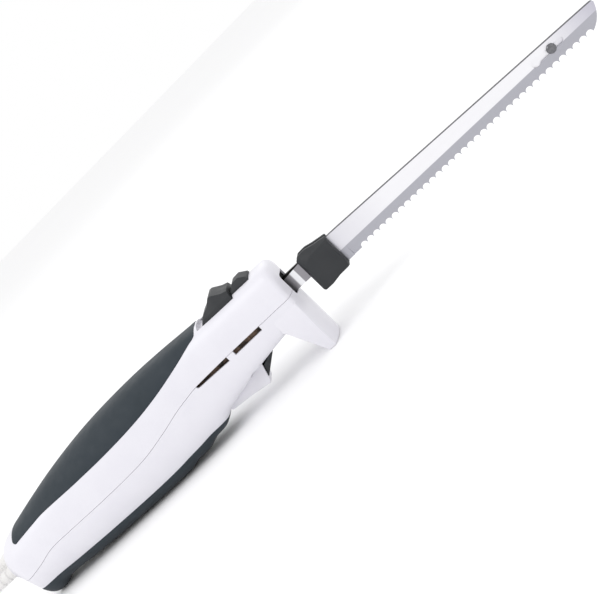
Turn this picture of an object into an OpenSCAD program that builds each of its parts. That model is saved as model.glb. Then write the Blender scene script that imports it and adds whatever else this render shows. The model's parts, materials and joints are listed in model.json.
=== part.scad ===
// Mains electric knife with two serrated blades that slide against each other. Millimetres.
// X runs from the cord to the blade tips, Z up from the table, and Y = 0 lies between the blades.

/* [Body] */
// Length of the housing from its rear end to its front face
body_len = 247; // [236:1:300]
// Greatest width of the grip
grip_w = 47; // [44:0.5:58]
// Width of the housing at its front
front_w = 33; // [32:0.5:40]
// Height of the grip's highest point
grip_h = 62.3; // [61:0.1:68]
// Wall of both shells
wall = 2.4; // [2:0.1:3]
// Thickness of the rear wall that holds the cord's strain relief
rear_wall = 6; // [5:0.5:9]
// Height of the lengthwise seam at the front half
seam_h = 37.5; // [36:0.5:39]
// Radius of the front face's top edge
front_round = 6; // [5:0.5:9]
// Depth of the soft pads below the shell's surface
pad_depth = 1.2; // [0.8:0.1:1.4]
// Height of the soft pads above the shell's surface
pad_proud = 0.3; // [0:0.1:0.6]
// Thickness of the finger guard's wall
guard_wall = 2.4; // [2:0.1:3]
// Height of the air vents
vent_h = 2.8; // [1.6:0.1:3]

/* [Blades] */
// Reach of each blade in front of its block
blade_len = 187; // [140:1:230]
// Thickness of each blade
blade_t = 1; // [0.8:0.1:1.3]
// Gap between the two blades
blade_gap = 0.2; // [0.1:0.05:0.4]
// Height of the tooth line above the table
edge_h = 26.4; // [25:0.1:28]
// Height of each blade at its block
heel_h = 18.6; // [16:0.1:20]
// Height of each blade near its tip
nose_h = 13; // [10:0.1:15]
// Distance from tooth to tooth
tooth_pitch = 4.65; // [3:0.05:6]
// Height of the ground band above the tooth line
bevel_h = 7.3; // [5:0.1:9]
// Height of each blade's tang
tang_h = 11.1; // [9:0.1:12]
// Gap between the front face and the blade blocks
block_gap = 10.7; // [8:0.1:16]
// Length of each blade block
block_len = 21.3; // [18:0.1:30]
// Width of each blade block
block_w = 6.5; // [5:0.1:7]
// Diameter of the stud that joins the blades near the tip
stud_d = 2.8; // [2:0.1:3.2]

/* [Drive] */
// Full stroke of each blade
stroke = 6; // [4:0.1:6.4]
// Teeth of the worm wheel
wheel_teeth = 17; // [15:1:18]
// Width of the worm wheel
wheel_w = 5; // [4:0.1:6]
// Diameter of the worm's mean thread line
worm_d = 5.6; // [5.4:0.1:6.4]
// Diameter of the motor shaft
shaft_d = 3; // [2.5:0.1:3.2]
// Diameter of the motor
motor_d = 33; // [26:0.5:34]
// Length of the motor can
motor_len = 52; // [44:1:56]
// Height of the motor shaft above the table
motor_h = 33; // [32:0.1:34]
// Gap between a running shaft and its bush, on the radius
run_gap = 0.05; // [0.02:0.01:0.1]
// Gap between sliding faces
slide_gap = 0.3; // [0.2:0.05:0.4]

/* [Controls] */
// Angle through which the trigger turns
trigger_turn = 7; // [5:0.5:7]
// Travel of the safety lock
lock_travel = 3.2; // [2:0.1:3.2]
// Travel of the blade release button
release_travel = 2.5; // [1.5:0.1:2.8]
// Diameter of the trigger's pin
pin_d = 3; // [2.5:0.1:3.4]

/* [Fasteners] */
// Diameter of the housing screws
screw_d = 3; // [2.5:0.1:3.5]
// Diameter of the housing screw heads
screw_head_d = 5.6; // [5:0.1:6.4]
// Diameter of the clamp screws
clamp_screw_d = 2.5; // [2:0.1:3]

/* [Cord] */
// Diameter of the mains cord
cord_d = 6; // [5:0.1:7]
// Length of the strain relief outside the housing
relief_len = 34; // [25:1:45]
// Largest diameter of the strain relief
relief_d = 8.4; // [8:0.1:10]

/* [Hidden] */

// Colours
shell_c = [0.93, 0.92, 0.95];
soft_c = [0.24, 0.27, 0.3];
dark_c = [0.27, 0.27, 0.28];
steel_c = [0.78, 0.78, 0.8];
copper_c = [0.72, 0.45, 0.26];
brass_c = [0.8, 0.68, 0.4];
brown_c = [0.5, 0.35, 0.22];
white_c = [0.92, 0.91, 0.88];

// The outlines are drawn on a housing of this length. A longer or shorter housing stretches
// only the grip, between the rounded rear end and the front that holds the drive.
drawn_len = 247;
rear_zone = 30;
front_zone = 105;
function drawn_x(x) =
    x < rear_zone ? x
    : x > body_len - front_zone ? x - body_len + drawn_len
    : rear_zone + (x - rear_zone) * (drawn_len - front_zone - rear_zone)
                  / (body_len - front_zone - rear_zone);
function real_x(d) =
    d < rear_zone ? d
    : d > drawn_len - front_zone ? d - drawn_len + body_len
    : rear_zone + (d - rear_zone) * (body_len - front_zone - rear_zone)
                  / (drawn_len - front_zone - rear_zone);

// Smooth curve through points in order of x (cubic Hermite, slopes from the neighbours)
function slope(p, i) =
    let (a = p[max(i - 1, 0)], b = p[min(i + 1, len(p) - 1)]) (b[1] - a[1]) / (b[0] - a[0]);
function span(p, x, i = 0) = i < len(p) - 2 && x > p[i + 1][0] ? span(p, x, i + 1) : i;
function curve(p, x) =
    let (i = span(p, x), h = p[i + 1][0] - p[i][0], t = min(max((x - p[i][0]) / h, 0), 1))
    p[i][1] * (1 + 2 * t) * pow(1 - t, 2) + slope(p, i) * h * t * pow(1 - t, 2)
    + p[i + 1][1] * t * t * (3 - 2 * t) - slope(p, i + 1) * h * t * t * (1 - t);

// Outlines of the housing, as [distance from the rear end, height]
top_line = [[0, grip_h - 17.7], [14, grip_h - 15.9], [37, grip_h - 10.9], [59, grip_h - 6.5],
            [81, grip_h - 3.2], [102, grip_h - 1.1], [125, grip_h - 0.1], [145, grip_h],
            [165, 61.6], [190, 60.1], [231, 59.3], [247, 59.3]];
bottom_line = [[0, 25], [2, 23.4], [5, 21.3], [6.2, 18], [8, 9.5], [9.8, 2.2], [12, 0.2],
               [14, 0], [19, 0.6], [24, 2.5], [33, 2.8], [48, 1.7], [70, 0.8], [100, 0.3],
               [125, 0.4], [130, 1], [136, 2.3], [144, 2.4], [149, 3.9], [153, 5.2],
               [161, 6.1], [165, 7.8], [170, 10.9], [185, 15.1], [205, 19.2], [226, 22.2],
               [247, 24]];
mid_line = [[0, 28], [60, 31], [150, 35], [200, seam_h], [247, seam_h]];
seam_line = [[-2, 21.3], [6, 21.4], [13, 21.9], [24, 23.8], [36, 26.8], [46, 27.5], [80, 27.3],
             [100, 27.5], [120, 28.6], [140, 32.2], [150, 34.6], [160, 36.3], [172, seam_h],
             [250, seam_h]];
// Share of the grip's extra width, and the roundness of the upper and lower half sections
bulge_line = [[0, 0.35], [20, 0.62], [40, 0.88], [70, 1], [110, 1], [135, 0.85], [155, 0.6],
              [175, 0.3], [195, 0.1], [215, 0.01], [247, 0]];
upper_power = [[0, 2.3], [60, 2.5], [150, 2.8], [200, 3], [247, 3.2]];
lower_power = [[0, 2.3], [60, 2.6], [150, 3], [200, 5], [247, 6]];
// Edges of the soft pads, seen from the side
upper_pad_edge = [[23.4, 42.9], [37, 44.1], [50, 45.4], [80, 45.3], [105, 45.6], [130, 46.9],
                  [150, 49.3], [170, 53.2], [183, 56.4], [191, 60]];
lower_pad_edge = [[-2, 11.4], [20, 11.6], [45, 10.8], [75, 9.9], [105, 9.3], [125, 9.5],
                  [146, 10.5], [157, 10.8], [165, 10.3], [169, 8.8], [172, 6]];

rear_round = 16;
rear_power = 2.2;
side_round = 2.5;
function mid_z(x) = curve(mid_line, drawn_x(x));
function seam_z(x) = curve(seam_line, drawn_x(x));
function floor_z(x) = curve(bottom_line, drawn_x(x));
function front_drop(x, r) = let (d = max(x - body_len + r, 0)) r - sqrt(max(r * r - d * d, 0));
function roof_z(x) = curve(top_line, drawn_x(x)) - front_drop(x, front_round);
function half_w(x) =
    front_w / 2 + (grip_w - front_w) / 2 * curve(bulge_line, drawn_x(x)) - front_drop(x, side_round);
// The rear end closes like a superellipse, and ends in a small flat
function end_share(s) =
    let (t = max(1 - (s + 0.1) / rear_round, 0)) pow(1 - pow(t, rear_power), 1 / rear_power);
function bend(v, p) = sign(v) * pow(abs(v), 2 / p);
// Section of the housing at x, moved inwards by inset, as [y, z]
ring_n = 24;
function section(x, s, inset) =
    let (k = end_share(s), w = (half_w(x) - inset) * k, m = mid_z(x), d = drawn_x(x),
         up = (roof_z(x) - m - inset) * k, down = m - floor_z(x) - inset,
         pu = curve(upper_power, d), pl = curve(lower_power, d))
    [for (i = [0:ring_n - 1])
        let (a = 360 * i / ring_n, p = i <= ring_n / 2 ? pu : pl)
        [w * bend(cos(a), p), m + bend(sin(a), p) * (i <= ring_n / 2 ? up : down)]];

// Stations along the housing: close together at the ends and on the ripple under the grip
skin_x = [0, 0.5, 1.5, 3, 5, 6.2, 8, 9.8, 12, 14, 19, 24, 33, 45, 58, 72, 88, 104, 118, 126, 130,
          136, 144, 149, 153, 161, 165, 170, 178, 188, 205, 226, 239, 243, 245.6, 247];
core_x = [0, 1, 3, 6, 10, 16, 26, 45, 70, 100, 130, 150, 165, 180, 205, 230, 247];

module loft(places, shapes, inset) {
    n = len(places);
    points = [for (j = [0:n - 1]) each
        [for (p = section(places[j], shapes[j], inset)) [places[j], p[0], p[1]]]];
    sides = [for (j = [0:n - 2]) each [for (i = [0:ring_n - 1]) each
        let (k = (i + 1) % ring_n, a = j * ring_n, b = a + ring_n)
        [[a + i, b + i, b + k], [a + i, b + k, a + k]]]];
    ends = [[for (i = [0:ring_n - 1]) i], [for (i = [ring_n - 1:-1:0]) (n - 1) * ring_n + i]];
    polyhedron(points, concat(sides, ends), 4);
}
// The housing's outer form, moved inwards by inset
module body_form(inset = 0) {
    at = [for (d = skin_x) real_x(d)];
    loft(at, at, inset);
}
// The space inside both shells
module cavity() {
    shapes = [for (d = core_x) real_x(d)];
    k = (body_len - rear_wall - wall) / body_len;
    loft([for (s = shapes) rear_wall + s * k], shapes, wall);
}

// Places along X, measured back from the front face
wheel_x = body_len - 73;
worm_len = 20;
can_x = body_len - 147;
frame_x = can_x + motor_len + 3;
frame_end = body_len - 57;
pivot_x = body_len - 33;
switch_x = body_len - 70;
latch_x = body_len - 23;
fan_x = can_x - 14;
board_x = fan_x - 42;
block_x = body_len + block_gap;
block_end = block_x + block_len;
tip_x = block_end + blade_len;
carrier_end = body_len - 6;
guide_x = body_len - 14;

// Drive: a single-start worm turns a wheel that carries two opposed eccentrics
gear_pitch = 3.14159;
throw = stroke / 2;
worm_r = worm_d / 2;
worm_depth = 0.9;
wheel_r = wheel_teeth * gear_pitch / (2 * 3.14159);
wheel_h = motor_h + worm_r + wheel_r;
cam_r = 5.5;
cam_gap = 0.35;
yoke_y = 4.2;
yoke_t = 3;
yoke_out = yoke_y + yoke_t;
frame_y = yoke_out + 1.2;
frame_t = 2;
frame_floor = motor_h - 6;
axle_d = 3;
tang_z = edge_h + 7.7;
tang_top = tang_z + tang_h;
carrier_low = tang_z - 1.1;
carrier_top = tang_top + 3.1;
deck_h = 57.4;
deck_t = 2.2;

// The whole knife stands with the middle of its length at X = 0
module place() { translate([-tip_x / 2, 0, 0]) children(); }
module both() { for (s = [0, 1]) mirror([0, s, 0]) children(); }
// A side view drawn in X and Z, given a thickness from y0 to y1
module slab(y0, y1) { translate([0, y1, 0]) rotate([90, 0, 0]) linear_extrude(y1 - y0) children(); }
module block(x0, x1, y0, y1, z0, z1) { translate([x0, y0, z0]) cube([x1 - x0, y1 - y0, z1 - z0]); }
module rod_x(x0, x1, y, z, d) {
    translate([x0, y, z]) rotate([0, 90, 0]) cylinder(h = x1 - x0, d = d, $fn = 48);
}
module rod_y(x, z, y0, y1, d) {
    translate([x, y1, z]) rotate([90, 0, 0]) cylinder(h = y1 - y0, d = d, $fn = 48);
}
module rod_z(x, y, z0, z1, d) { translate([x, y, z0]) cylinder(h = z1 - z0, d = d, $fn = 48); }
// A wall across the housing, with the section of its narrower end
module rib(x, t, inset = pad_depth + 0.4) {
    at = half_w(x) < half_w(x + t) ? x : x + t;
    translate([x, 0, 0]) rotate([90, 0, 90]) linear_extrude(t) polygon(section(at, at, inset));
}
// Everything above or below the seam
module above_seam() {
    slab(-60, 60) polygon(concat([for (p = seam_line) [real_x(p[0]), p[1]]],
                                 [[body_len + 9, 99], [-9, 99], [-9, seam_line[0][1]]]));
}
module below_seam() {
    slab(-60, 60) polygon(concat([for (p = seam_line) [real_x(p[0]), p[1]]],
                                 [[body_len + 9, -9], [-9, -9], [-9, seam_line[0][1]]]));
}
// Side views of the two soft pads, drawn in by side
module upper_pad_view(side) {
    offset(delta = -side) polygon(concat([[22, 44.6]],
        [for (p = upper_pad_edge) [real_x(p[0]), p[1]]],
        [[real_x(191), 80], [29.5, 80], [29.5, 51.5], [24.2, 47.4]]));
}
module lower_pad_view(side) {
    offset(delta = -side) polygon(concat([for (p = lower_pad_edge) [real_x(p[0]), p[1]]],
                                         [[real_x(172), -20], [-2, -20]]));
}
// Tube of round section along points, with a ring at each point
function unit(v) = v / norm(v);
module tube(path, d, sides) {
    n = len(path);
    ring = [for (i = [0:n - 1])
        let (t = unit(path[min(i + 1, n - 1)] - path[max(i - 1, 0)]),
             u = unit(cross(t, abs(t[2]) > 0.9 ? [0, 1, 0] : [0, 0, 1])), v = cross(u, t))
        for (k = [0:sides - 1]) path[i] + d / 2 * (cos(360 * k / sides) * u + sin(360 * k / sides) * v)];
    walls = [for (i = [0:n - 2]) each [for (k = [0:sides - 1]) each
        let (a = i * sides + k, b = i * sides + (k + 1) % sides)
        [[a, b, b + sides], [a, b + sides, a + sides]]]];
    ends = [[for (k = [sides - 1:-1:0]) k], [for (k = [0:sides - 1]) (n - 1) * sides + k]];
    polyhedron(ring, concat(walls, ends), 4);
}
// Smooth route through hand-set points (Catmull-Rom), steps points to a span
function route(p, steps) = [for (i = [0:len(p) - 2]) each
    let (a = p[max(i - 1, 0)], b = p[i], c = p[i + 1], d = p[min(i + 2, len(p) - 1)])
    [for (j = [0:i == len(p) - 2 ? steps : steps - 1]) let (t = j / steps)
        0.5 * (2 * b + (c - a) * t + (2 * a - 5 * b + 4 * c - d) * t * t
               + (3 * b - 3 * c + d - a) * t * t * t)]];
// Round wire spring that stands on its end
module coil_spring(x, y, z, h, d, wire, turns) {
    steps = 10 * turns;
    tube([for (i = [0:steps]) [x + (d - wire) / 2 * cos(36 * i), y + (d - wire) / 2 * sin(36 * i),
                               z + wire / 2 + (h - wire) * i / steps]], wire, 6);
}
// Screw that enters upwards: a domed head below a shank
module screw(x, y, seat, tip, d, head_d) {
    translate([x, y, 0]) rotate_extrude($fn = 48) difference() {
        polygon([[0, seat - 0.45 * head_d], [0.3 * head_d, seat - 0.4 * head_d],
                 [0.5 * head_d, seat - 0.15 * head_d], [0.5 * head_d, seat],
                 [d / 2, seat], [d / 2, tip - d / 2], [0.1, tip], [0, tip]]);
        translate([-1, seat - head_d / 2]) square([1 + 0.12 * head_d, 0.28 * head_d]);
    }
}

// Housing screws: two behind the board, two beside the drive
screw_places = [[40, 11], [body_len - 50.3, 11.3]];
screw_seat = [12, 24];
boss_d = screw_d + 3.2;
head_hole = screw_head_d + 0.8;
// Vents: rear end, front end, and the rear end's share of the full height
vents = [[body_len - 77, body_len - 52.6, 0.62], [body_len - 47.8, body_len - 27, 1]];
// Rear ends of the two buttons on the roof
lock_x = body_len - 51.6;
release_x = body_len - 27;
release_len = 12.8;
spring_seat_x = release_x + 3.7;
shelf_h = carrier_top + 2.2;

// A pair of screw bosses from z0 to z1, cut to the inside of the housing
module boss(p, z0, z1, d) intersection() {
    rib(p[0] - d / 2 - 0.5, d + 1, pad_depth + 0.6);
    both() rod_z(p[0], p[1], z0, z1, d);
}
module front_slot() { block(body_len - 8, body_len + 2, -7.5, 7.5, tang_z - 0.3, carrier_top + 0.3); }
module upper_housing() place() color(shell_c) {
    difference() {
        union() {
            difference() {
                intersection() { body_form(); above_seam(); }
                cavity();
                difference() { slab(-60, 60) upper_pad_view(0); body_form(pad_depth); }
            }
            // Deck under the buttons, and the shelf under the release spring
            intersection() {
                rib(lock_x - 6, release_x + 20 - lock_x, 0.6);
                union() {
                    block(lock_x - 6, release_x + 15, -20, 20, deck_h - deck_t, deck_h);
                    block(spring_seat_x - 2.5, spring_seat_x + 2.5, -20, 20, shelf_h - 1.2, shelf_h);
                }
            }
            // Saddles over the motor and the cord
            difference() {
                intersection() {
                    union() { rib(can_x + 6, 2); rib(can_x + motor_len - 8, 2); }
                    above_seam();
                }
                rod_x(can_x, can_x + motor_len, 0, motor_h, motor_d);
            }
            difference() {
                intersection() { rib(22, 6); block(20, 30, -30, 30, relief_z + 1, 90); }
                rod_x(20, 30, 0, relief_z, cord_d);
                both() rod_z(25, clamp_y, 0, 36, clamp_screw_d + 2 * run_gap);
            }
            for (p = screw_places) boss(p, seam_z(p[0]), 90, boss_d);
        }
        both() for (i = [0, 1])
            rod_z(screw_places[i][0], screw_places[i][1], 0, screw_tip[i] + 0.5, screw_d + 2 * run_gap);
        block(lock_x - 3.6, release_x, -10.3, 10.3, deck_h, 80);
        block(lock_x + 7, lock_x + 18, -4, 4, 50, 80);
        block(release_x - slide_gap, release_x + release_len + slide_gap,
              -7 - slide_gap, 7 + slide_gap, 52, 80);
        front_slot();
        rod_x(-5, rear_wall + 3, 0, relief_z, relief_neck + 2 * run_gap);
        rod_x(rear_wall + 1.6, rear_wall + 5, 0, relief_z, relief_d + 2.2);
    }
}
screw_tip = [34, 46];

// Finger guard and the hood behind the trigger, drawn in X and Z
guard_half = front_w / 2 - 0.2;
module guard_view(inset) {
    offset(delta = -inset) offset(r = 1.5) offset(delta = -1.5)
        polygon([[body_len - 20.5, 24], [body_len - 18.6, 22.2], [body_len - 7.2, 0],
                 [body_len - 2.6, 0], [body_len, 24], [body_len, 30 + 2.5 * inset],
                 [body_len - 20.5, 30 + 2.5 * inset]]);
}
module guard() intersection() {
    slab(-guard_half, guard_half) guard_view(0);
    linear_extrude(40) offset(r = side_round) offset(delta = -side_round)
        translate([body_len - 40, -guard_half]) square([40, 2 * guard_half]);
}
module hood_view(inset) {
    polygon([[body_len - 77, 12 + inset], [body_len - 76.2 + inset, 9.9 + inset],
             [body_len - 62.4, 8.7 + inset], [body_len - 49, 6.7 + inset],
             [body_len - 47.9 + inset, 8.8 + inset], [body_len - 44.8 + inset, 18],
             [body_len - 44.8 + inset, 22], [body_len - 60, 22], [body_len - 76.2, 17]]);
}
module lower_housing() place() color(shell_c) {
    difference() {
        union() {
            difference() {
                intersection() { body_form(); below_seam(); }
                cavity();
                difference() { slab(-60, 60) lower_pad_view(0); body_form(pad_depth); }
            }
            guard();
            slab(-7, 7) hood_view(0);
            // Saddles under the motor and feet under the drive frame
            difference() {
                intersection() {
                    union() { rib(can_x + 6, 2); rib(can_x + motor_len - 8, 2); }
                    below_seam();
                }
                rod_x(can_x, can_x + motor_len, 0, motor_h, motor_d);
                both() rod_x(can_x, can_x + motor_len, lead_y, lead_z, 2 * lead_d);
            }
            both() for (x = [frame_x + 5, frame_end - 6]) intersection() {
                rib(x, 4);
                block(x, x + 4, frame_y, frame_y + frame_t, 0, frame_floor);
            }
            both() for (x = [board_x + 3, board_x + 29]) intersection() {
                rib(x - 2, 4);
                rod_z(x, 7, 0, board_h, 4);
            }
            for (i = [0, 1]) {
                boss(screw_places[i], 0, screw_seat[i] + 2, head_hole + 3);
                boss(screw_places[i], screw_seat[i], seam_z(screw_places[i][0]), boss_d);
            }
            // Lugs for the trigger's pin
            both() block(pivot_x - 4, pivot_x + 4, 5.6, 8, floor_z(pivot_x) + 1, pivot_h + 3.5);
        }
        slab(-guard_half + guard_wall, guard_half - guard_wall) guard_view(guard_wall);
        // The trigger's way through the floor and into its hood
        slab(-5.5, 5.5) hood_view(1.5);
        block(body_len - 49.5, body_len - 33.4, -5.5, 5.5, 2, 27);
        block(body_len - 70, body_len - 44, -5.5, 5.5, 12, 27);
        rod_y(pivot_x, pivot_h, -20, 20, pin_d);
        both() for (i = [0, 1]) {
            rod_z(screw_places[i][0], screw_places[i][1], -5, screw_seat[i], head_hole);
            rod_z(screw_places[i][0], screw_places[i][1], -5, 60, screw_d + 0.4);
        }
        slab(-60, 60) for (v = vents)
            polygon([[v[0], seam_h - v[2] * vent_h], [v[1], seam_h - vent_h],
                     [v[1], seam_h + 1], [v[0], seam_h + 1]]);
        front_slot();
    }
}

module upper_grip() place() color(soft_c) difference() {
    intersection() { body_form(-pad_proud); slab(-60, 60) upper_pad_view(0.15); }
    body_form(pad_depth);
}
module lower_grip() place() color(soft_c) difference() {
    intersection() { body_form(-pad_proud); slab(-60, 60) lower_pad_view(0.15); }
    body_form(pad_depth);
    both() rod_z(screw_places[0][0], screw_places[0][1], -5, 20, head_hole);
}
module housing_screws() place() color(steel_c) both() for (i = [0, 1])
    screw(screw_places[i][0], screw_places[i][1], screw_seat[i], screw_tip[i], screw_d, screw_head_d);

// Trigger: a wedge under the finger, an arm under the switch and a hub on the pin
pivot_h = 27;
plunger_x = pivot_x - 18;
plunger_d = 2.6;
trigger_pad = 14;
switch_h = 17;
module trigger() place() color(dark_c) difference() {
    union() {
        slab(-5.1, 5.1) polygon([[pivot_x - 2.8, 18.6], [body_len - 47.6, 9.7], [body_len - 54, 10.8],
                                 [body_len - 54, trigger_pad], [body_len - 46.5, trigger_pad],
                                 [body_len - 44.6, 17.9], [body_len - 42, 18], [pivot_x - 4, 25], [pivot_x - 0.6, 24]]);
        rod_y(pivot_x, pivot_h, -5.1, 5.1, 7);
    }
    rod_y(pivot_x, pivot_h, -6, 6, pin_d + 2 * run_gap);
}
module trigger_pin() place() color(steel_c) rod_y(pivot_x, pivot_h, -8, 8, pin_d);
spring_x = body_len - 44;
module trigger_spring() place() color(steel_c)
    coil_spring(spring_x, 0, 18.3, frame_floor - 18.3, 4, 0.5, 5);
module micro_switch() place() color([0.15, 0.15, 0.16]) difference() {
    union() {
        block(switch_x, switch_x + 20, -3.2, 3.2, switch_h, frame_floor);
        block(switch_x - 3.6, switch_x + 1, -1.6, 1.6, switch_h + 2, switch_h + 2.6);
        block(switch_x - 2.4, switch_x + 1, -1.6, 1.6, switch_h + 6, switch_h + 6.6);
    }
    rod_z(plunger_x, 0, switch_h - 1, switch_h + 5, plunger_d + 2 * run_gap);
}
module switch_plunger() place() color([0.8, 0.2, 0.15])
    rod_z(plunger_x, 0, trigger_pad + 0.1, switch_h + 2, plunger_d);

// Buttons on the roof
module lock_slide() place() color(dark_c) {
    difference() {
        hull() {
            slab(-8, 8) polygon([[lock_x + 3.4, 61.2], [lock_x + 9.5, 63.9], [lock_x + 13.4, 67.2],
                                 [lock_x + 15.2, 67.2], [lock_x + 20.6, 64], [lock_x + 24, 63]]);
            slab(-10, 10) polygon([[lock_x, deck_h + 0.1], [lock_x + 24, deck_h + 0.1],
                                   [lock_x + 24, 60.4], [lock_x + 2.8, 60.2]]);
        }
        slab(-7, 7) polygon([[lock_x + 5, deck_h - 1], [lock_x + 22, deck_h - 1],
                             [lock_x + 22, 60.6], [lock_x + 7, 60.6]]);
    }
    block(lock_x + 10.6, lock_x + 17, -3.7, 3.7, deck_h - deck_t - 0.3, 64);
}
// Bent strip under the roof whose two legs reach down beside the carriers to the trigger
module lock_bar() place() color(steel_c)
    translate([lock_x + 9, 0, 0]) rotate([90, 0, 90]) linear_extrude(6) for (s = [0, 1])
        mirror([s, 0]) polygon([
            [0, fork_top], [8.6, fork_top], [12.6, fork_top - 6], [12.6, frame_floor + 3.8],
            [9, frame_floor + 3.8], [9, frame_floor + 5], [11.4, frame_floor + 5],
            [11.4, fork_top - 6.4], [7.8, fork_top - 1.2], [0, fork_top - 1.2]]);
// The release button stands in a hole of the deck and is held from below by its fork
fork_top = deck_h - deck_t - 0.3;
spring_top = 60;
module release_button() place() color(dark_c) difference() {
    hull() {
        slab(-5.4, 5.4) polygon([[release_x + 1, 61], [release_x + 3.8, 62.9],
                                 [release_x + 8.6, 63.2], [release_x + 12.2, 61]]);
        block(release_x, release_x + release_len, -7, 7, fork_top, 60);
    }
    rod_z(spring_seat_x, 0, fork_top - 1, spring_top, 4.6);
}
// Half width of the fork, clear of the roof's wall
fork_half = 13.7 - 2 * wall;
module release_fork() place() color(steel_c) {
    difference() {
        block(release_x - 0.2, release_x + 11.5, -fork_half, fork_half, fork_top - 1.5, fork_top);
        rod_z(spring_seat_x, 0, 50, 60, 4.6);
    }
    both() block(release_x + 7, release_x + 11.5, yoke_out - 0.4, fork_half,
                 lip_top + release_travel + 0.6, fork_top - 1.5);
}
module release_spring() place() color(steel_c)
    coil_spring(spring_seat_x, 0, shelf_h, spring_top - shelf_h, 4, 0.5, 5);

// Drive frame: a floor, two side plates and a rear wall that holds the motor's nose
nose_d = 12;
bush_d = 7;
module drive_frame() place() color(brown_c) difference() {
    union() {
        block(frame_x, frame_end, -frame_y, frame_y, frame_floor, frame_floor + 1.8);
        block(frame_end, switch_x + 29, -5, 5, frame_floor, frame_floor + 1.8);
        both() block(frame_x, frame_end, frame_y, frame_y + frame_t, frame_floor, wheel_h + 6);
        block(frame_x, frame_x + 3, -frame_y, frame_y, frame_floor, motor_h + 9);
        block(frame_end - 3, frame_end, -yoke_y + 0.4, yoke_y - 0.4, frame_floor, motor_h + 3.6);
    }
    rod_x(frame_x - 1, frame_x + 2, 0, motor_h, nose_d + 2 * run_gap);
    rod_x(frame_x - 1, frame_x + 4, 0, motor_h, 2 * (worm_r + worm_depth) + 0.8);
    rod_x(frame_end - 4, frame_end + 1, 0, motor_h, bush_d);
    rod_y(wheel_x, wheel_h, -20, 20, axle_d);
}
module wheel_axle() place() color(steel_c)
    rod_y(wheel_x, wheel_h, -frame_y - frame_t, frame_y + frame_t, axle_d);

// Worm wheel: sloping teeth that clear the worm's rounded thread
tip_r = wheel_r + worm_depth - 0.25;
root_r = wheel_r - worm_depth - 0.2;
wheel_twist = wheel_w * gear_pitch / (3.14159 * worm_d) / wheel_r * 57.29578;
module wheel_outline() {
    step = 360 / wheel_teeth;
    polygon([for (i = [0:wheel_teeth - 1])
        for (q = [[root_r, -0.3], [wheel_r, -0.17], [tip_r, -0.07], [tip_r, 0.07],
                  [wheel_r, 0.17], [root_r, 0.3]])
            [q[0] * cos((i + 0.5 + q[1]) * step), q[0] * sin((i + 0.5 + q[1]) * step)]]);
}
module worm_wheel() place() color([0.9, 0.88, 0.8])
    translate([wheel_x, 0, wheel_h]) rotate([90, 0, 0]) difference() {
        union() {
            translate([0, 0, -wheel_w / 2]) rotate([0, 0, -90 - wheel_twist / 2])
                linear_extrude(wheel_w, twist = -wheel_twist, slices = 4) wheel_outline();
            cylinder(h = 2 * yoke_y - 0.2, r = 5, center = true, $fn = 48);
        }
        cylinder(h = 30, d = axle_d + 2 * run_gap, center = true, $fn = 48);
    }
module eccentrics() place() color(steel_c) for (s = [0, 1]) mirror([0, s, 0]) difference() {
    rod_y(wheel_x, wheel_h + (1 - 2 * s) * throw, yoke_y - 0.1, yoke_out + 0.3, 2 * cam_r);
    rod_y(wheel_x, wheel_h, 0, 20, axle_d + 2 * run_gap);
}
// Thread: a round rod whose centre winds about the shaft once per tooth of the wheel, with its
// crest at the wheel's lowest gap
worm_phase = 180 - 180 * worm_len / gear_pitch;
module worm() place() color(brass_c) difference() {
    translate([wheel_x - worm_len / 2, 0, motor_h]) rotate([0, 90, 0]) rotate([0, 0, worm_phase])
        linear_extrude(worm_len, twist = -360 * worm_len / gear_pitch,
                       slices = round(14 * worm_len / gear_pitch))
            translate([worm_depth, 0]) circle(r = worm_r, $fn = 14);
    rod_x(wheel_x - worm_len, wheel_x + worm_len, 0, motor_h, shaft_d);
}

// Blade carriers: a yoke round the eccentric, an arm and a channel for the tang
tang_x = body_len - 35;
module carrier() difference() {
    union() {
        slab(yoke_y, yoke_out) polygon([
            [wheel_x - yoke_hw, wheel_h - yoke_hh], [wheel_x + yoke_hw, wheel_h - yoke_hh],
            [wheel_x + yoke_hw, carrier_low], [tang_x + 2, carrier_low], [tang_x + 2, carrier_top],
            [wheel_x + yoke_hw, carrier_top], [wheel_x + yoke_hw, wheel_h + yoke_hh],
            [wheel_x - yoke_hw, wheel_h + yoke_hh]]);
        block(tang_x - 4, carrier_end, blade_gap, yoke_out, carrier_low, carrier_top);
    }
    block(wheel_x - cam_r - cam_gap, wheel_x + cam_r + cam_gap, 0, 20,
          wheel_h - cam_r - throw - 0.4, wheel_h + cam_r + throw + 0.4);
    block(tang_x, carrier_end + 1, -1, blade_gap / 2 + blade_t + 0.05, tang_z - 0.05, tang_top + 0.05);
    rod_y(latch_x, tang_z + tang_h / 2, 0, 20, peg_d + 0.6);
}
yoke_hw = cam_r + cam_gap + 3;
yoke_hh = cam_r + throw + 2.8;
peg_d = 3.4;
lip_top = carrier_top - 0.4;
module carrier_left() place() color(dark_c) carrier();
module carrier_right() place() color(dark_c) mirror([0, 1, 0]) carrier();
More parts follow.
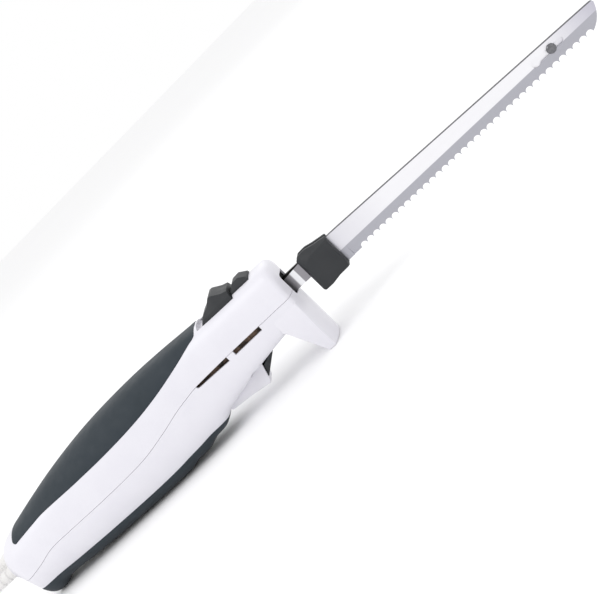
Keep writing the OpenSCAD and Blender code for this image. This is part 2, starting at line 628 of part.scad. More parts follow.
// Spring latches: a leaf on each carrier with a peg that enters the tang
module latch() {
    slab(yoke_out, yoke_out + 0.5) polygon([[tang_x - 5, tang_z + 3], [latch_x + 2, tang_z + 2],
        [latch_x + 5.6, tang_z + 5], [latch_x + 5.6, lip_top], [latch_x, lip_top],
        [latch_x - 3, tang_top - 2], [tang_x - 5, tang_top - 3]]);
    rod_y(latch_x, tang_z + tang_h / 2, blade_gap / 2 + 0.3, yoke_out + 0.1, peg_d);
}
module latch_left() place() color(steel_c) latch();
module latch_right() place() color(steel_c) mirror([0, 1, 0]) latch();
module slide_guide() place() color(brown_c) difference() {
    block(guide_x, body_len - wall - 0.2, -10.6, 10.6, carrier_low - 3, carrier_top + 2.4);
    block(guide_x - 1, body_len, -yoke_out - slide_gap, yoke_out + slide_gap,
          carrier_low - slide_gap, carrier_top + slide_gap);
}

// Blades
function mixed(a, b, t) = a + (b - a) * t;
tooth_start = 10;
tooth_stop = 9.5;
tooth_n = floor((blade_len - tooth_start - tooth_stop) / tooth_pitch + 0.01);
stud_x = tip_x - 31.4;
stud_z = edge_h + 8.7;
module blade_side() difference() {
    nose = edge_h + nose_h;
    polygon(concat(
        [[tang_x + 0.2, tang_z], [block_x + 6, tang_z], [block_x + 6, edge_h],
         [tip_x - tooth_stop, edge_h]],
        [for (t = [0.1:0.1:0.9])
            [mixed(mixed(tip_x - tooth_stop, tip_x - 2.5, t), mixed(tip_x - 2.5, tip_x, t), t),
             mixed(mixed(edge_h, edge_h + 3.1, t), mixed(edge_h + 3.1, nose - 1.4, t), t)]],
        [[tip_x, nose - 1.4], [tip_x - 0.5, nose - 0.4], [tip_x - 1.7, nose],
         [block_end + 6, edge_h + heel_h], [block_x + 6, edge_h + heel_h], [block_x + 6, tang_top],
         [tang_x + 0.2, tang_top]]));
    for (i = [0:tooth_n - 1])
        translate([block_end + tooth_start + tooth_pitch * (i + 0.5), edge_h])
            circle(r = 0.47 * tooth_pitch, $fn = 24);
    for (x = [block_x + 9, block_x + 17])
        translate([x, edge_h + heel_h / 2]) circle(d = rivet_d, $fn = 24);
    translate([latch_x, tang_z + tang_h / 2]) circle(d = peg_d + 0.3, $fn = 24);
}
rivet_d = 3;
// One blade on the side of +Y, ground to a thin edge on its outer face
module blade() difference() {
    slab(blade_gap / 2, blade_gap / 2 + blade_t) blade_side();
    translate([block_end + 4.5, blade_gap / 2 + blade_t, edge_h + bevel_h])
        rotate([-atan((blade_t - 0.2) / bevel_h), 0, 0]) translate([0, 0, -30]) cube([blade_len, 9, 30]);
}
module blade_left() place() color(steel_c) blade();
module blade_right() place() color(steel_c) difference() {
    mirror([0, 1, 0]) blade();
    rod_y(stud_x - 10.6, stud_z, -9, 9, stud_head - 0.2);
    block(stud_x - 10.6, stud_x + stroke + 0.2, -9, 9, stud_z - slot_w / 2, stud_z + slot_w / 2);
    rod_y(stud_x + stroke + 0.2, stud_z, -9, 9, slot_w);
}
stud_head = 5.6;
slot_w = stud_d + 0.3;
module blade_stud() place() color(steel_c) {
    rod_y(stud_x, stud_z, -blade_t - blade_gap / 2 - 0.15, blade_gap / 2, stud_d);
    translate([stud_x, -blade_t - blade_gap / 2 - 0.1, stud_z]) rotate([90, 0, 0])
        cylinder(h = 0.9, d1 = stud_head - 0.4, d2 = stud_head - 1.6, $fn = 48);
}
// Moulded blocks that the fingers pull the blades out by
block_in = blade_gap / 2 + blade_t;
block_out = blade_gap / 2 + block_w;
module grip_block() {
    hull() {
        slab(block_in, block_in + 2.4) polygon([
            [block_x, edge_h - 2], [block_x + 1, edge_h - 3], [block_x + 7, edge_h - 3],
            [block_x + 13, edge_h - 1.9], [block_end - 1, edge_h - 1.7], [block_end, edge_h],
            [block_end, edge_h + 19.7], [block_x + 13, edge_h + 21], [block_x + 8, edge_h + 22.2],
            [block_x + 3, edge_h + 22], [block_x, edge_h + 20]]);
        slab(block_in + 2.4, block_out) polygon([
            [block_x + 0.8, edge_h - 1.4], [block_x + 1.6, edge_h - 2.4], [block_x + 7, edge_h - 2.4],
            [block_x + 13, edge_h - 1.4], [block_end - 1.6, edge_h - 1.2], [block_end - 0.7, edge_h],
            [block_end - 0.7, edge_h + 18.6], [block_x + 9, edge_h + 18], [block_x + 4.4, edge_h + 16.4],
            [block_x + 2, edge_h + 13]]);
    }
    slab(blade_gap / 2, block_in) polygon([[block_x + 1, edge_h - 3], [block_x + 7, edge_h - 3],
        [block_x + 13, edge_h - 1.9], [block_end - 1, edge_h - 1.7], [block_end - 1, edge_h - 0.1],
        [block_x + 1, edge_h - 0.1]]);
    lip = max(tang_top, edge_h + heel_h) + 0.1;
    slab(blade_gap / 2, block_in) polygon([[block_x, lip], [block_end, lip], [block_end, edge_h + 19.7],
        [block_x + 13, edge_h + 21], [block_x + 8, edge_h + 22.2], [block_x + 3, edge_h + 22],
        [block_x, edge_h + 20]]);
    for (x = [block_x + 9, block_x + 17])
        rod_y(x, edge_h + heel_h / 2, blade_gap / 2, block_in + 1, rivet_d - 2 * run_gap);
}
module block_left() place() color(dark_c) grip_block();
module block_right() place() color(dark_c) mirror([0, 1, 0]) grip_block();

// Motor
core_d = motor_d - 11;
slot_d = core_d / 5;
cap_t = 4;
shaft_x0 = fan_x - 2;
shaft_x1 = frame_end + 1;
coil_x0 = can_x + 9;
core_x0 = can_x + 14;
core_x1 = can_x + motor_len - 12;
module motor_can() place() color([0.6, 0.6, 0.62]) difference() {
    union() {
        rod_x(can_x, can_x + motor_len, 0, motor_h, motor_d);
        rod_x(can_x + motor_len, frame_x + 2, 0, motor_h, nose_d);
    }
    rod_x(can_x - 1, can_x + motor_len - 2, 0, motor_h, motor_d - 3);
    rod_x(can_x, frame_x + 3, 0, motor_h, bush_d);
    both() rod_y(can_x + 18, motor_h, motor_d / 2 - 4, motor_d, 5);
}
module motor_end_cap() place() color([0.16, 0.16, 0.17]) difference() {
    union() {
        rod_x(can_x - cap_t, can_x, 0, motor_h, motor_d);
        rod_x(can_x, can_x + 2, 0, motor_h, motor_d - 3);
    }
    rod_x(can_x - 9, can_x + 9, 0, motor_h, bush_d);
    for (a = [45:90:315]) translate([0, 0, motor_h]) rotate([a, 0, 0])
        rod_x(can_x - 9, can_x + 9, motor_d / 3, 0, 4);
}
module motor_magnets() place() color([0.22, 0.21, 0.21]) both() intersection() {
    difference() {
        rod_x(can_x + 12, can_x + motor_len - 10, 0, motor_h, motor_d - 3);
        rod_x(can_x + 11, can_x + motor_len - 9, 0, motor_h, core_d + 1.4);
    }
    block(can_x, can_x + motor_len, 3.4, 30, 0, 60);
}
module shaft_bushes() place() color(brass_c) {
    for (x = [[can_x - cap_t, can_x + 2], [can_x + motor_len - 2, frame_x + 2], [frame_end - 3, frame_end]])
        difference() {
            rod_x(x[0], x[1], 0, motor_h, bush_d);
            rod_x(x[0] - 1, x[1] + 1, 0, motor_h, shaft_d + 2 * run_gap);
        }
}
commutator_d = 9;
module brushes() place() color([0.2, 0.2, 0.2]) both()
    block(can_x + 4, can_x + 7, commutator_d / 2 + 0.3, commutator_d / 2 + 5, motor_h - 2, motor_h + 2);
module brush_holders() place() color(brass_c) both() difference() {
    block(can_x + 2, can_x + 8, commutator_d / 2 + 1.5, motor_d / 2 - 1.9, motor_h - 3, motor_h + 3);
    block(can_x + 4, can_x + 7, 0, commutator_d / 2 + 5, motor_h - 2, motor_h + 2);
}
module motor_shaft() place() color(steel_c) rod_x(shaft_x0, shaft_x1, 0, motor_h, shaft_d);
module armature_core() place() color([0.45, 0.45, 0.47]) difference() {
    rod_x(core_x0, core_x1, 0, motor_h, core_d);
    rod_x(core_x0 - 1, core_x1 + 1, 0, motor_h, shaft_d);
    for (a = [0:60:300]) translate([0, 0, motor_h]) rotate([a, 0, 0]) {
        block(core_x0 - 1, core_x1 + 1, -0.7, 0.7, core_d / 2 - 0.7 * slot_d, core_d);
        rod_x(core_x0 - 1, core_x1 + 1, 0, core_d / 2 - 1.05 * slot_d, slot_d);
    }
}
module armature_coils() place() color(copper_c) for (x = [coil_x0, core_x1])
    translate([x, 0, motor_h]) rotate([0, 90, 0]) rotate_extrude($fn = 48)
        offset(r = 1) offset(delta = -1) translate([shaft_d / 2 + 1.6, 0])
            square([core_d / 2 - shaft_d / 2 - 2.4, x == coil_x0 ? core_x0 - coil_x0 : 5]);
module commutator() place() color(copper_c) difference() {
    rod_x(can_x + 2.6, coil_x0 - 0.4, 0, motor_h, commutator_d);
    rod_x(can_x, coil_x0 + 4, 0, motor_h, shaft_d);
    for (a = [0:30:330]) translate([0, 0, motor_h]) rotate([a, 0, 0])
        block(can_x + 2, coil_x0 - 1.6, -0.2, 0.2, commutator_d / 2 - 0.6, commutator_d);
}
module cooling_fan() place() color([0.75, 0.76, 0.78]) translate([0, 0, motor_h]) difference() {
    union() {
        rod_x(fan_x, fan_x + 8, 0, 0, 8);
        rod_x(fan_x + 6.8, fan_x + 8, 0, 0, motor_d - 6);
        for (a = [0:40:320]) rotate([a, 0, 0])
            block(fan_x, fan_x + 7, -0.6, 0.6, 3, motor_d / 2 - 3.4);
    }
    rod_x(fan_x - 1, fan_x + 9, 0, 0, shaft_d);
}

// Circuit board with its rectifier, behind the motor
board_h = 19;
board_t = 1.6;
module circuit_board() place() color([0.3, 0.42, 0.25]) difference() {
    block(board_x, board_x + 32, -9, 9, board_h, board_h + board_t);
    both() rod_z(board_x + 16, 7, 10, 30, 2.2);
}
module board_parts() place() {
    color([0.15, 0.15, 0.16]) for (i = [0, 1], s = [1, -1])
        rod_x(board_x + 4 + 8 * i, board_x + 9 + 8 * i, 3 * s, board_h + board_t + 1.4, 2.8);
    color([0.2, 0.35, 0.6]) rod_z(board_x + 24, 2.5, board_h + board_t, board_h + board_t + 9, 8);
    color([0.8, 0.6, 0.25])
        block(board_x + 18, board_x + 28, -7, -3.6, board_h + board_t, board_h + board_t + 7);
}
lead_d = 1.6;
lead_y = 10.4;
lead_z = 14;
module inner_leads() place() color([0.15, 0.15, 0.17]) both() {
    tube(route([[board_x + 31, 5, board_h + board_t + 1], [board_x + 36, 9, 20],
                [can_x - 16, motor_d / 2 - 1.5, 22], [can_x - 9, motor_d / 2 - 0.9, 28],
                [can_x - cap_t - 0.1, motor_d / 2 - 1.9, motor_h]],
               3), lead_d, 6);
    tube(route([[board_x + 31.6, 4.4, board_h - 0.9], [board_x + 34, 9.4, 13.5],
                [can_x - 5, lead_y, lead_z], [can_x + motor_len / 2, lead_y, lead_z],
                [can_x + motor_len - 4, lead_y, lead_z], [frame_x + 2, 6.4, 16],
                [frame_x + 10, 5, 17.6], [switch_x - 6, 3.6, 20.4], [switch_x - 2, 2.6, 21.2]],
               3), lead_d, 6);
}

// Cord inside the housing, its clamp, and the strain relief
relief_z = 27.6;
relief_neck = relief_d - 1.4;
clamp_y = 9;
module cord_inner() place() color(white_c) {
    rod_x(rear_wall + 4, 34, 0, relief_z, cord_d);
    both() tube(route([[33.8, 1.4, relief_z], [board_x - 7.5, 2.1, relief_z - 0.9],
                       [board_x - 4, 3, relief_z - 2.2], [board_x + 1, 4.5, board_h + 3.6],
                       [board_x + 3, 5, board_h + board_t + 0.9]], 3), lead_d, 6);
}
module cord_clamp() place() color(shell_c) difference() {
    block(22, 28, -11.4, 11.4, relief_z - 5, relief_z - 1);
    rod_x(20, 30, 0, relief_z, cord_d);
    both() rod_z(25, clamp_y, 10, 40, clamp_screw_d + 2 * run_gap);
}
module clamp_screws() place() color(steel_c) both()
    screw(25, clamp_y, relief_z - 5, 35, clamp_screw_d, 4.6);
// Ribbed sleeve that tapers away from the housing
module strain_relief() place() color(white_c) translate([0, 0, relief_z]) rotate([0, 90, 0])
    rotate_extrude($fn = 48) {
        r1 = relief_d / 2;
        r0 = cord_d / 2 + 0.5;
        rings = 6;
        step = relief_len / rings;
        polygon(concat([[0, -relief_len]],
            [for (i = [0:rings - 1]) let (r = mixed(r0, r1, (i + 0.6) / rings), z = -relief_len + i * step)
                each [[r - 0.5, z], [r, z + 0.25 * step], [r, z + 0.75 * step], [r - 0.5, z + step - 0.01]]],
            [[relief_neck / 2, 0], [relief_neck / 2, rear_wall + 1.6],
             [r1 + 1, rear_wall + 1.6], [r1 + 1, rear_wall + 4], [0, rear_wall + 4]]));
    }

// Cord outside: a drop from the strain relief to the table, a round coil and a short tail.
// Its points count from the housing's rear end, along the table plane.
coil_x = -110;
coil_y = 42;
coil_in = 24;
coil_out = 42;
tail_turn = 30;
tail_len = 48;
plug_h = 7;
tail_from = [coil_x - coil_out * sin(tail_turn), coil_y + coil_out * cos(tail_turn)];
plug_at = tail_from + tail_len * [cos(tail_turn), sin(tail_turn)];
lead_points = [[-34, 0, 27.6], [-41, 0, 27.1], [-50, 0, 24.6], [-59, 0, 20.4], [-68, 0, 15.3],
               [-77, 0, 10.4], [-86, 0, 6.6], [-95, 0, 4.2], [-103, 0, 3.1], [-110, 0, 3]];
tail_points = [for (s = [0:tail_len / 6:tail_len])
    [tail_from[0] + s * cos(tail_turn), tail_from[1] + s * sin(tail_turn),
     plug_h + (1.5 * cord_d - plug_h) * pow(cos(90 * s / tail_len), 2)]];
module cord_lead() place() color(white_c) tube(route(lead_points, 2), cord_d, 10);
module cord_tail() place() color(white_c) tube(route(tail_points, 2), cord_d, 10);
// Eight turns in two layers, as one ring
module cord_coil() place() color(white_c) translate([coil_x, coil_y, 0]) rotate_extrude($fn = 48)
    translate([coil_in - cord_d / 2, 0]) offset(r = 2) offset(delta = -2)
        square([coil_out - coil_in + cord_d, 2 * cord_d]);
module coil_tie() place() color([0.12, 0.12, 0.13]) difference() {
    block(coil_x - coil_out - cord_d / 2 - 1, coil_x - coil_in + cord_d / 2 + 1,
          coil_y - 2, coil_y + 2, 0, 2 * cord_d + 1);
    translate([coil_x, coil_y, -1]) difference() {
        cylinder(h = 2 * cord_d + 1, r = coil_out + cord_d / 2, $fn = 96);
        translate([0, 0, -1]) cylinder(h = 40, r = coil_in - cord_d / 2, $fn = 96);
    }
}
// Plug for two flat parallel pins
pin_y = 6.35;
pin_t = 1.5;
pin_w = 6.4;
module at_plug() place() translate([plug_at[0], plug_at[1], plug_h]) rotate([0, 0, tail_turn]) children();
module plug_body() color(white_c) at_plug() difference() {
    hull() {
        block(6, 24, -9, 9, -plug_h, plug_h);
        block(0, 2, -4, 4, -4, 4);
        block(22, 26, -11, 11, -plug_h, plug_h);
    }
    both() block(20, 30, pin_y - pin_t / 2, pin_y + pin_t / 2, -pin_w / 2, pin_w / 2);
}
module plug_prongs() color(brass_c) at_plug() both() difference() {
    block(20, 42, pin_y - pin_t / 2, pin_y + pin_t / 2, -pin_w / 2, pin_w / 2);
    rod_y(38.4, 0, pin_y - 2, pin_y + 2, 3);
}

upper_housing();
lower_housing();
upper_grip();
lower_grip();
housing_screws();
trigger();
trigger_pin();
trigger_spring();
micro_switch();
switch_plunger();
lock_slide();
lock_bar();
release_button();
release_fork();
release_spring();
drive_frame();
slide_guide();
wheel_axle();
worm_wheel();
eccentrics();
carrier_left();
carrier_right();
latch_left();
latch_right();
blade_left();
blade_right();
block_left();
block_right();
blade_stud();
motor_can();
motor_end_cap();
motor_magnets();
shaft_bushes();
brushes();
brush_holders();
motor_shaft();
armature_core();
armature_coils();
commutator();
cooling_fan();
worm();
circuit_board();
board_parts();
inner_leads();
cord_inner();
cord_clamp();
clamp_screws();
strain_relief();
cord_lead();
cord_coil();
cord_tail();
coil_tie();
plug_body();
plug_prongs();
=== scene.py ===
import json
import math

import bpy
import numpy as np
from mathutils import Matrix


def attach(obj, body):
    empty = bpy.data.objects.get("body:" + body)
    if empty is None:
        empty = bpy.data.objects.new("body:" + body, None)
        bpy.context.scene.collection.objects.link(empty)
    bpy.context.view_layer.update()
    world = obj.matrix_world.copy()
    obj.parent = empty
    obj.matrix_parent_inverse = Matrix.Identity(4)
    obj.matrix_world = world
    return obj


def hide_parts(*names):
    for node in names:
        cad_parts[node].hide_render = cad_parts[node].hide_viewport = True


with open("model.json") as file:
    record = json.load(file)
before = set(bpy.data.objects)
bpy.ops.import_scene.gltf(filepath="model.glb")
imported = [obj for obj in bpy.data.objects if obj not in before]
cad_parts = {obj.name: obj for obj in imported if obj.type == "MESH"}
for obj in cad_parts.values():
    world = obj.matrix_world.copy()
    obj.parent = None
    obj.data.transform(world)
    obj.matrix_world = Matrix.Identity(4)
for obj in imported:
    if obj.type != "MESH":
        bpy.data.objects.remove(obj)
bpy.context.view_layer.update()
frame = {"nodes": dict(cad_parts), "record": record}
nodes = frame["nodes"]

MM = 0.001
BODY = 247.0                 # length of the housing, mm from its rear end to its front face
MIDDLE = 233.0               # the frame's X = 0, counted from the housing's rear end
FRONT_HALF = 16.5            # half width of the housing at its front
GRIP_HALF = 23.5             # half width of the grip at its widest
REAR_ROUND = 16.0            # length of the rounded rear end
REAR_POWER = 2.2             # power of the rear end's superellipse
FRONT_ROUND = 6.0            # radius of the front's upper edge
SIDE_ROUND = 2.5             # radius of the front's side edges
FRONT_BOW = 3.5              # how far the front face falls back at its sides
BOW_LEN = 14                 # length over which the bow dies out
SEAM_FRONT = 37.5            # height of the seam beside the drive
CORD_D = 6.0
CORD_EXIT = 27.6             # height at which the cord leaves the housing
BLOCK = 257.7                # rear end of the blade blocks
EDGE = 26.4                  # height of the blades' cutting edge
BLADE_TIP = 466.0


# ---------------------------------------------------------------- camera and light

def set_camera():
    """Camera stands right of the knife, a little in front of its middle and a little above it,
    and is rolled so that the knife points up to the right."""
    turn, rise, roll = math.radians(14.294), math.radians(12.674), math.radians(46.4)
    back = np.array([math.sin(turn) * math.cos(rise), -math.cos(turn) * math.cos(rise),
                     math.sin(rise)])
    level = np.array([math.cos(turn), math.sin(turn), 0.0])
    upright = np.cross(back, level)
    right = math.cos(roll) * level - math.sin(roll) * upright
    up = math.sin(roll) * level + math.cos(roll) * upright
    data = bpy.data.cameras.new("camera")
    data.lens = 78.12
    data.sensor_width = 36.0
    data.clip_start = 0.02
    cam = bpy.data.objects.new("camera", data)
    bpy.context.collection.objects.link(cam)
    at = np.array([186.35, -687.73, 189.49]) * MM
    cam.matrix_world = Matrix([list(r) + [p] for r, p in zip(np.stack([right, up, back], 1), at)]
                              + [[0, 0, 0, 1]])
    bpy.context.scene.camera = cam


def area_light(name, at, size, power):
    """Soft box: a square lamp at one point, aimed at the knife."""
    data = bpy.data.lights.new(name, "AREA")
    data.energy, data.size = power, size
    lamp = bpy.data.objects.new(name, data)
    bpy.context.collection.objects.link(lamp)
    away = np.array(at, float) - [0, 0, 0.03]
    away /= np.linalg.norm(away)
    side = np.cross([0.0, 0.0, 1.0], away)
    side /= max(np.linalg.norm(side), 1e-6)
    top = np.cross(away, side)
    lamp.matrix_world = Matrix([list(r) + [p] for r, p in zip(np.stack([side, top, away], 1), at)]
                               + [[0, 0, 0, 1]])


# ---------------------------------------------------------------- outlines of the housing

def table(text):
    """Rows of numbers written as 'x y, x y, ...'."""
    return np.array([[float(v) for v in row.split()] for row in text.split(",")])


TOP = table("0 44.6, 14 46.4, 37 51.4, 59 55.8, 81 59.1, 102 61.2, 125 62.2, 145 62.3, 165 61.6,"
            "190 60.1, 231 59.3, 247 59.3")
BOTTOM = table("0 25, 2 23.4, 5 21.3, 6.2 18, 8 9.5, 9.8 2.2, 12 0.2, 14 0, 19 0.6, 24 2.5, 33 2.8,"
               "48 1.7, 70 0.8, 100 0.3, 125 0.4, 130 1, 136 2.3, 144 2.4, 149 3.9, 153 5.2,"
               "161 6.1, 165 7.8, 170 10.9, 185 15.1, 205 19.2, 226 22.2, 247 24")
MID = table("0 28, 60 31, 150 35, 200 37.5, 247 37.5")
SEAM = table("-2 21.3, 6 21.4, 13 21.9, 24 23.8, 36 26.8, 46 27.5, 80 27.3, 100 27.5, 120 28.6,"
             "140 32.2, 150 34.6, 160 36.3, 172 37.5, 250 37.5")
BULGE = table("0 0.35, 20 0.62, 40 0.88, 70 1, 110 1, 135 0.85, 155 0.6, 175 0.3, 195 0.1,"
              "215 0.01, 247 0")
POWER_UP = table("0 2.3, 60 2.5, 150 2.8, 200 3, 247 3.2")
POWER_DOWN = table("0 2.3, 60 2.6, 150 3, 200 5, 247 6")
PAD_UP = table("23.4 42.9, 37 44.1, 50 45.4, 80 45.3, 105 45.6, 130 46.9, 150 49.3, 170 53.2,"
               "183 56.4, 188.6 57.8, 190.4 60.4")
PAD_DOWN = table("-2 11.4, 20 11.6, 45 10.8, 75 9.9, 105 9.3, 125 9.5, 146 10.5, 157 10.8,"
                 "165 10.3, 169 8.8, 172 6")


def curve(points, x):
    """Cubic Hermite curve through points in order of x, with slopes taken from the neighbours."""
    px, py = points[:, 0], points[:, 1]
    place = np.arange(len(px))
    before, after = np.maximum(place - 1, 0), np.minimum(place + 1, len(px) - 1)
    slope = (py[after] - py[before]) / (px[after] - px[before])
    i = np.clip(np.searchsorted(px, x, side="left") - 1, 0, len(px) - 2)
    h = px[i + 1] - px[i]
    t = np.clip((x - px[i]) / h, 0, 1)
    return (py[i] * (1 + 2 * t) * (1 - t) ** 2 + slope[i] * h * t * (1 - t) ** 2
            + py[i + 1] * t * t * (3 - 2 * t) - slope[i + 1] * h * t * t * (1 - t))


def front_drop(x, r):
    """Quarter round of radius r that ends at the front face: r - sqrt(r^2 - d^2)."""
    d = np.clip(x - BODY + r, 0, r)
    return r - np.sqrt(r * r - d * d)


def half_width(x):
    """Half width of the housing: the front's, plus a share of what the grip has more."""
    return FRONT_HALF + (GRIP_HALF - FRONT_HALF) * curve(BULGE, x) - front_drop(x, SIDE_ROUND)


def roof(x):
    """Height of the housing's top line."""
    return curve(TOP, x) - front_drop(x, FRONT_ROUND)


def end_share(x):
    """The rear end closes as a superellipse: (1 - t^p)^(1/p), t from 1 at the end to 0."""
    t = np.clip(1 - (x + 0.1) / REAR_ROUND, 0, 1)
    return (1 - t ** REAR_POWER) ** (1 / REAR_POWER)


def skin(x, angle, out=0.0):
    """Housing skin: at each x the section is two half superellipses about the middle line,
    y = w |cos a|^(2/p), z = m + h |sin a|^(2/p), with its own width, heights and power p.
    out moves the skin outwards, along the section, in mm."""
    share, mid = end_share(x), curve(MID, x)
    wide = (half_width(x) + out) * share
    up = (roof(x) - mid + out) * share
    down = mid - curve(BOTTOM, x) + out
    power = np.where((angle >= 0) & (angle <= math.pi), curve(POWER_UP, x), curve(POWER_DOWN, x))
    c, s = np.cos(angle), np.sin(angle)
    y = wide * np.sign(c) * np.abs(c) ** (2 / power)
    z = mid + np.sign(s) * np.abs(s) ** (2 / power) * np.where(s >= 0, up, down)
    return np.stack([x + 0 * y, y, z], -1)


def angle_at(x, z):
    """Angle on the +Y side at which the skin has height z, from -90 to 90 degrees."""
    share, mid = end_share(x), curve(MID, x)
    up = (roof(x) - mid) * share
    down = mid - curve(BOTTOM, x)
    high = np.arcsin(np.clip((z - mid) / np.maximum(up, 1e-3), 0, 1) ** (curve(POWER_UP, x) / 2))
    low = np.arcsin(np.clip((mid - z) / np.maximum(down, 1e-3), 0, 1) ** (curve(POWER_DOWN, x) / 2))
    return np.where(z >= mid, high, -low)


# ---------------------------------------------------------------- mesh helpers

def piece(name, verts, faces, smooth=35):
    """Mesh object from arrays of points in mm from the housing's rear end."""
    mesh = bpy.data.meshes.new(name)
    pts = (np.asarray(verts, float).reshape(-1, 3) - [MIDDLE, 0, 0]) * MM
    mesh.from_pydata(pts.tolist(), [], [list(map(int, f)) for f in faces])
    mesh.update()
    obj = bpy.data.objects.new(name, mesh)
    bpy.context.collection.objects.link(obj)
    mesh.shade_smooth()
    if smooth < 180:
        mesh.set_sharp_from_angle(angle=math.radians(smooth))
    return obj


def sheet_faces(rows, cols, wrap=False, flip=False):
    """Quads of a grid of points, rows by cols. wrap joins the last column to the first."""
    r = np.arange(rows - 1)[:, None]
    c = np.arange(cols if wrap else cols - 1)[None, :]
    n = (c + 1) % cols
    quads = np.stack([r * cols + c, r * cols + n, (r + 1) * cols + n, (r + 1) * cols + c], -1)
    quads = quads.reshape(-1, 4)
    return quads[:, ::-1] if flip else quads


def joined(parts):
    """Points and faces of several (points, faces) pairs as one."""
    verts, faces, count = [], [], 0
    for v, f in parts:
        v = np.asarray(v, float).reshape(-1, 3)
        verts.append(v)
        faces += [[int(i) + count for i in q] for q in f]
        count += len(v)
    return np.concatenate(verts), faces


def ring_solid(rings):
    """Closed solid through rings of equal count, with flat ends."""
    rings = np.asarray(rings, float)
    rows, cols = rings.shape[:2]
    faces = [list(q) for q in sheet_faces(rows, cols, True)]
    faces.append(list(range(cols))[::-1])
    faces.append([(rows - 1) * cols + i for i in range(cols)])
    return rings.reshape(-1, 3), faces


def inset_line(line, d):
    """Closed outline moved inwards by d along the bisectors of its corners: each point goes by
    d / (n . na), where the divisor is held at 0.3 or more at sharp corners."""
    line = np.asarray(line, float)
    a, b = line - np.roll(line, 1, 0), np.roll(line, -1, 0) - line
    a /= np.linalg.norm(a, axis=1)[:, None]
    b /= np.linalg.norm(b, axis=1)[:, None]
    na, nb = np.stack([-a[:, 1], a[:, 0]], 1), np.stack([-b[:, 1], b[:, 0]], 1)
    n = na + nb
    n /= np.maximum((n * na).sum(1), 0.3)[:, None]
    area = 0.5 * np.sum(line[:, 0] * np.roll(line[:, 1], -1) - np.roll(line[:, 0], -1) * line[:, 1])
    return line + n * d * np.sign(area)


def plate(outline, y0, y1, edge=0.4, steps=3):
    """Side view drawn in X and Z, given a thickness from y0 to y1, with quarter-round edges."""
    t = np.linspace(0, math.pi / 2, steps + 1)
    depth = edge * (1 - np.cos(t))
    draw = edge * (1 - np.sin(t))
    ys = np.concatenate([y0 + depth, (y1 - depth)[::-1]])
    ins = np.concatenate([draw, draw[::-1]])
    rings = []
    for y, d in zip(ys, ins):
        flat = inset_line(outline, d)
        rings.append(np.stack([flat[:, 0], np.full(len(flat), y), flat[:, 1]], 1))
    return ring_solid(rings)


def box_solid(x0, x1, y0, y1, z0, z1):
    """Plain block, used only to cut openings."""
    flat = [[x0, z0], [x1, z0], [x1, z1], [x0, z1]]
    return ring_solid([[[p[0], y, p[1]] for p in flat] for y in (y0, y1)])


def softened(outline, radius, steps=5):
    """Outline whose corners are replaced by arcs: each corner is a quadratic Bezier curve
    between points at one tangent length from it along its two sides."""
    line = np.asarray(outline, float)
    before, after = np.roll(line, 1, 0) - line, np.roll(line, -1, 0) - line
    lb, la = np.linalg.norm(before, axis=1), np.linalg.norm(after, axis=1)
    before, after = before / lb[:, None], after / la[:, None]
    half = np.arccos(np.clip((before * after).sum(1), -0.9999, 0.9999)) / 2
    reach = np.minimum(np.minimum(radius / np.tan(half), 0.45 * lb), 0.45 * la)[:, None]
    t = np.linspace(0, 1, steps)[None, :, None]
    a, b, c = (line + before * reach)[:, None], line[:, None], (line + after * reach)[:, None]
    return (a * (1 - t) ** 2 + 2 * b * t * (1 - t) + c * t * t).reshape(-1, 2)


def turned(profile, sides, axis_z):
    """Turned solid along X: the profile's radius at each x is carried round the axis."""
    a = np.linspace(0, 2 * math.pi, sides, endpoint=False)
    profile = np.asarray(profile, float)
    return np.stack([np.repeat(profile[:, :1], sides, 1),
                     profile[:, 1:] * np.cos(a), axis_z + profile[:, 1:] * np.sin(a)], -1)


def fix_normals(obj):
    """Faces of a closed piece are turned outwards, once its doubled points are merged."""
    import bmesh
    bm = bmesh.new()
    bm.from_mesh(obj.data)
    bmesh.ops.remove_doubles(bm, verts=bm.verts, dist=1e-6)
    bmesh.ops.recalc_face_normals(bm, faces=bm.faces)
    bm.to_mesh(obj.data)
    bm.free()
    obj.data.update()


def apply_all(obj):
    """Leaves the piece with the mesh that its modifiers give."""
    deps = bpy.context.evaluated_depsgraph_get()
    done = bpy.data.meshes.new_from_object(obj.evaluated_get(deps))
    obj.modifiers.clear()
    obj.data = done


def cut(obj, cutters):
    """Takes closed shapes away from a piece."""
    for i, (verts, faces) in enumerate(cutters):
        tool = piece("cutter", verts, faces)
        fix_normals(tool)
        mod = obj.modifiers.new("cut%d" % i, "BOOLEAN")
        mod.operation, mod.solver, mod.object = "DIFFERENCE", "EXACT", tool
        apply_all(obj)
        bpy.data.objects.remove(tool)


def bevelled(obj, width, angle):
    """Rounds a piece's edges, where its faces meet at more than the angle."""
    mod = obj.modifiers.new("edges", "BEVEL")
    mod.width, mod.segments, mod.limit_method = width * MM, 3, "ANGLE"
    mod.angle_limit = math.radians(angle)
    apply_all(obj)
    obj.data.shade_smooth()
    obj.data.set_sharp_from_angle(angle=math.radians(40))


# ---------------------------------------------------------------- materials

def material(name, colour, rough, metallic=0.0, coat=0.0, specular=0.5, sheen=0.0):
    """Plain finish, whose colour and roughness the finishes below then vary."""
    mat = bpy.data.materials.new(name)
    mat.use_nodes = True
    tree = mat.node_tree
    shader = tree.nodes["Principled BSDF"]
    shader.inputs["Base Color"].default_value = (*colour, 1)
    shader.inputs["Roughness"].default_value = rough
    shader.inputs["Metallic"].default_value = metallic
    shader.inputs["Coat Weight"].default_value = coat
    shader.inputs["Coat Roughness"].default_value = 0.15
    shader.inputs["Specular IOR Level"].default_value = specular
    shader.inputs["Sheen Weight"].default_value = sheen
    return mat, tree, shader


def add_node(tree, kind, **values):
    """New node with its own settings."""
    node = tree.nodes.new(kind)
    for key, value in values.items():
        setattr(node, key, value)
    return node


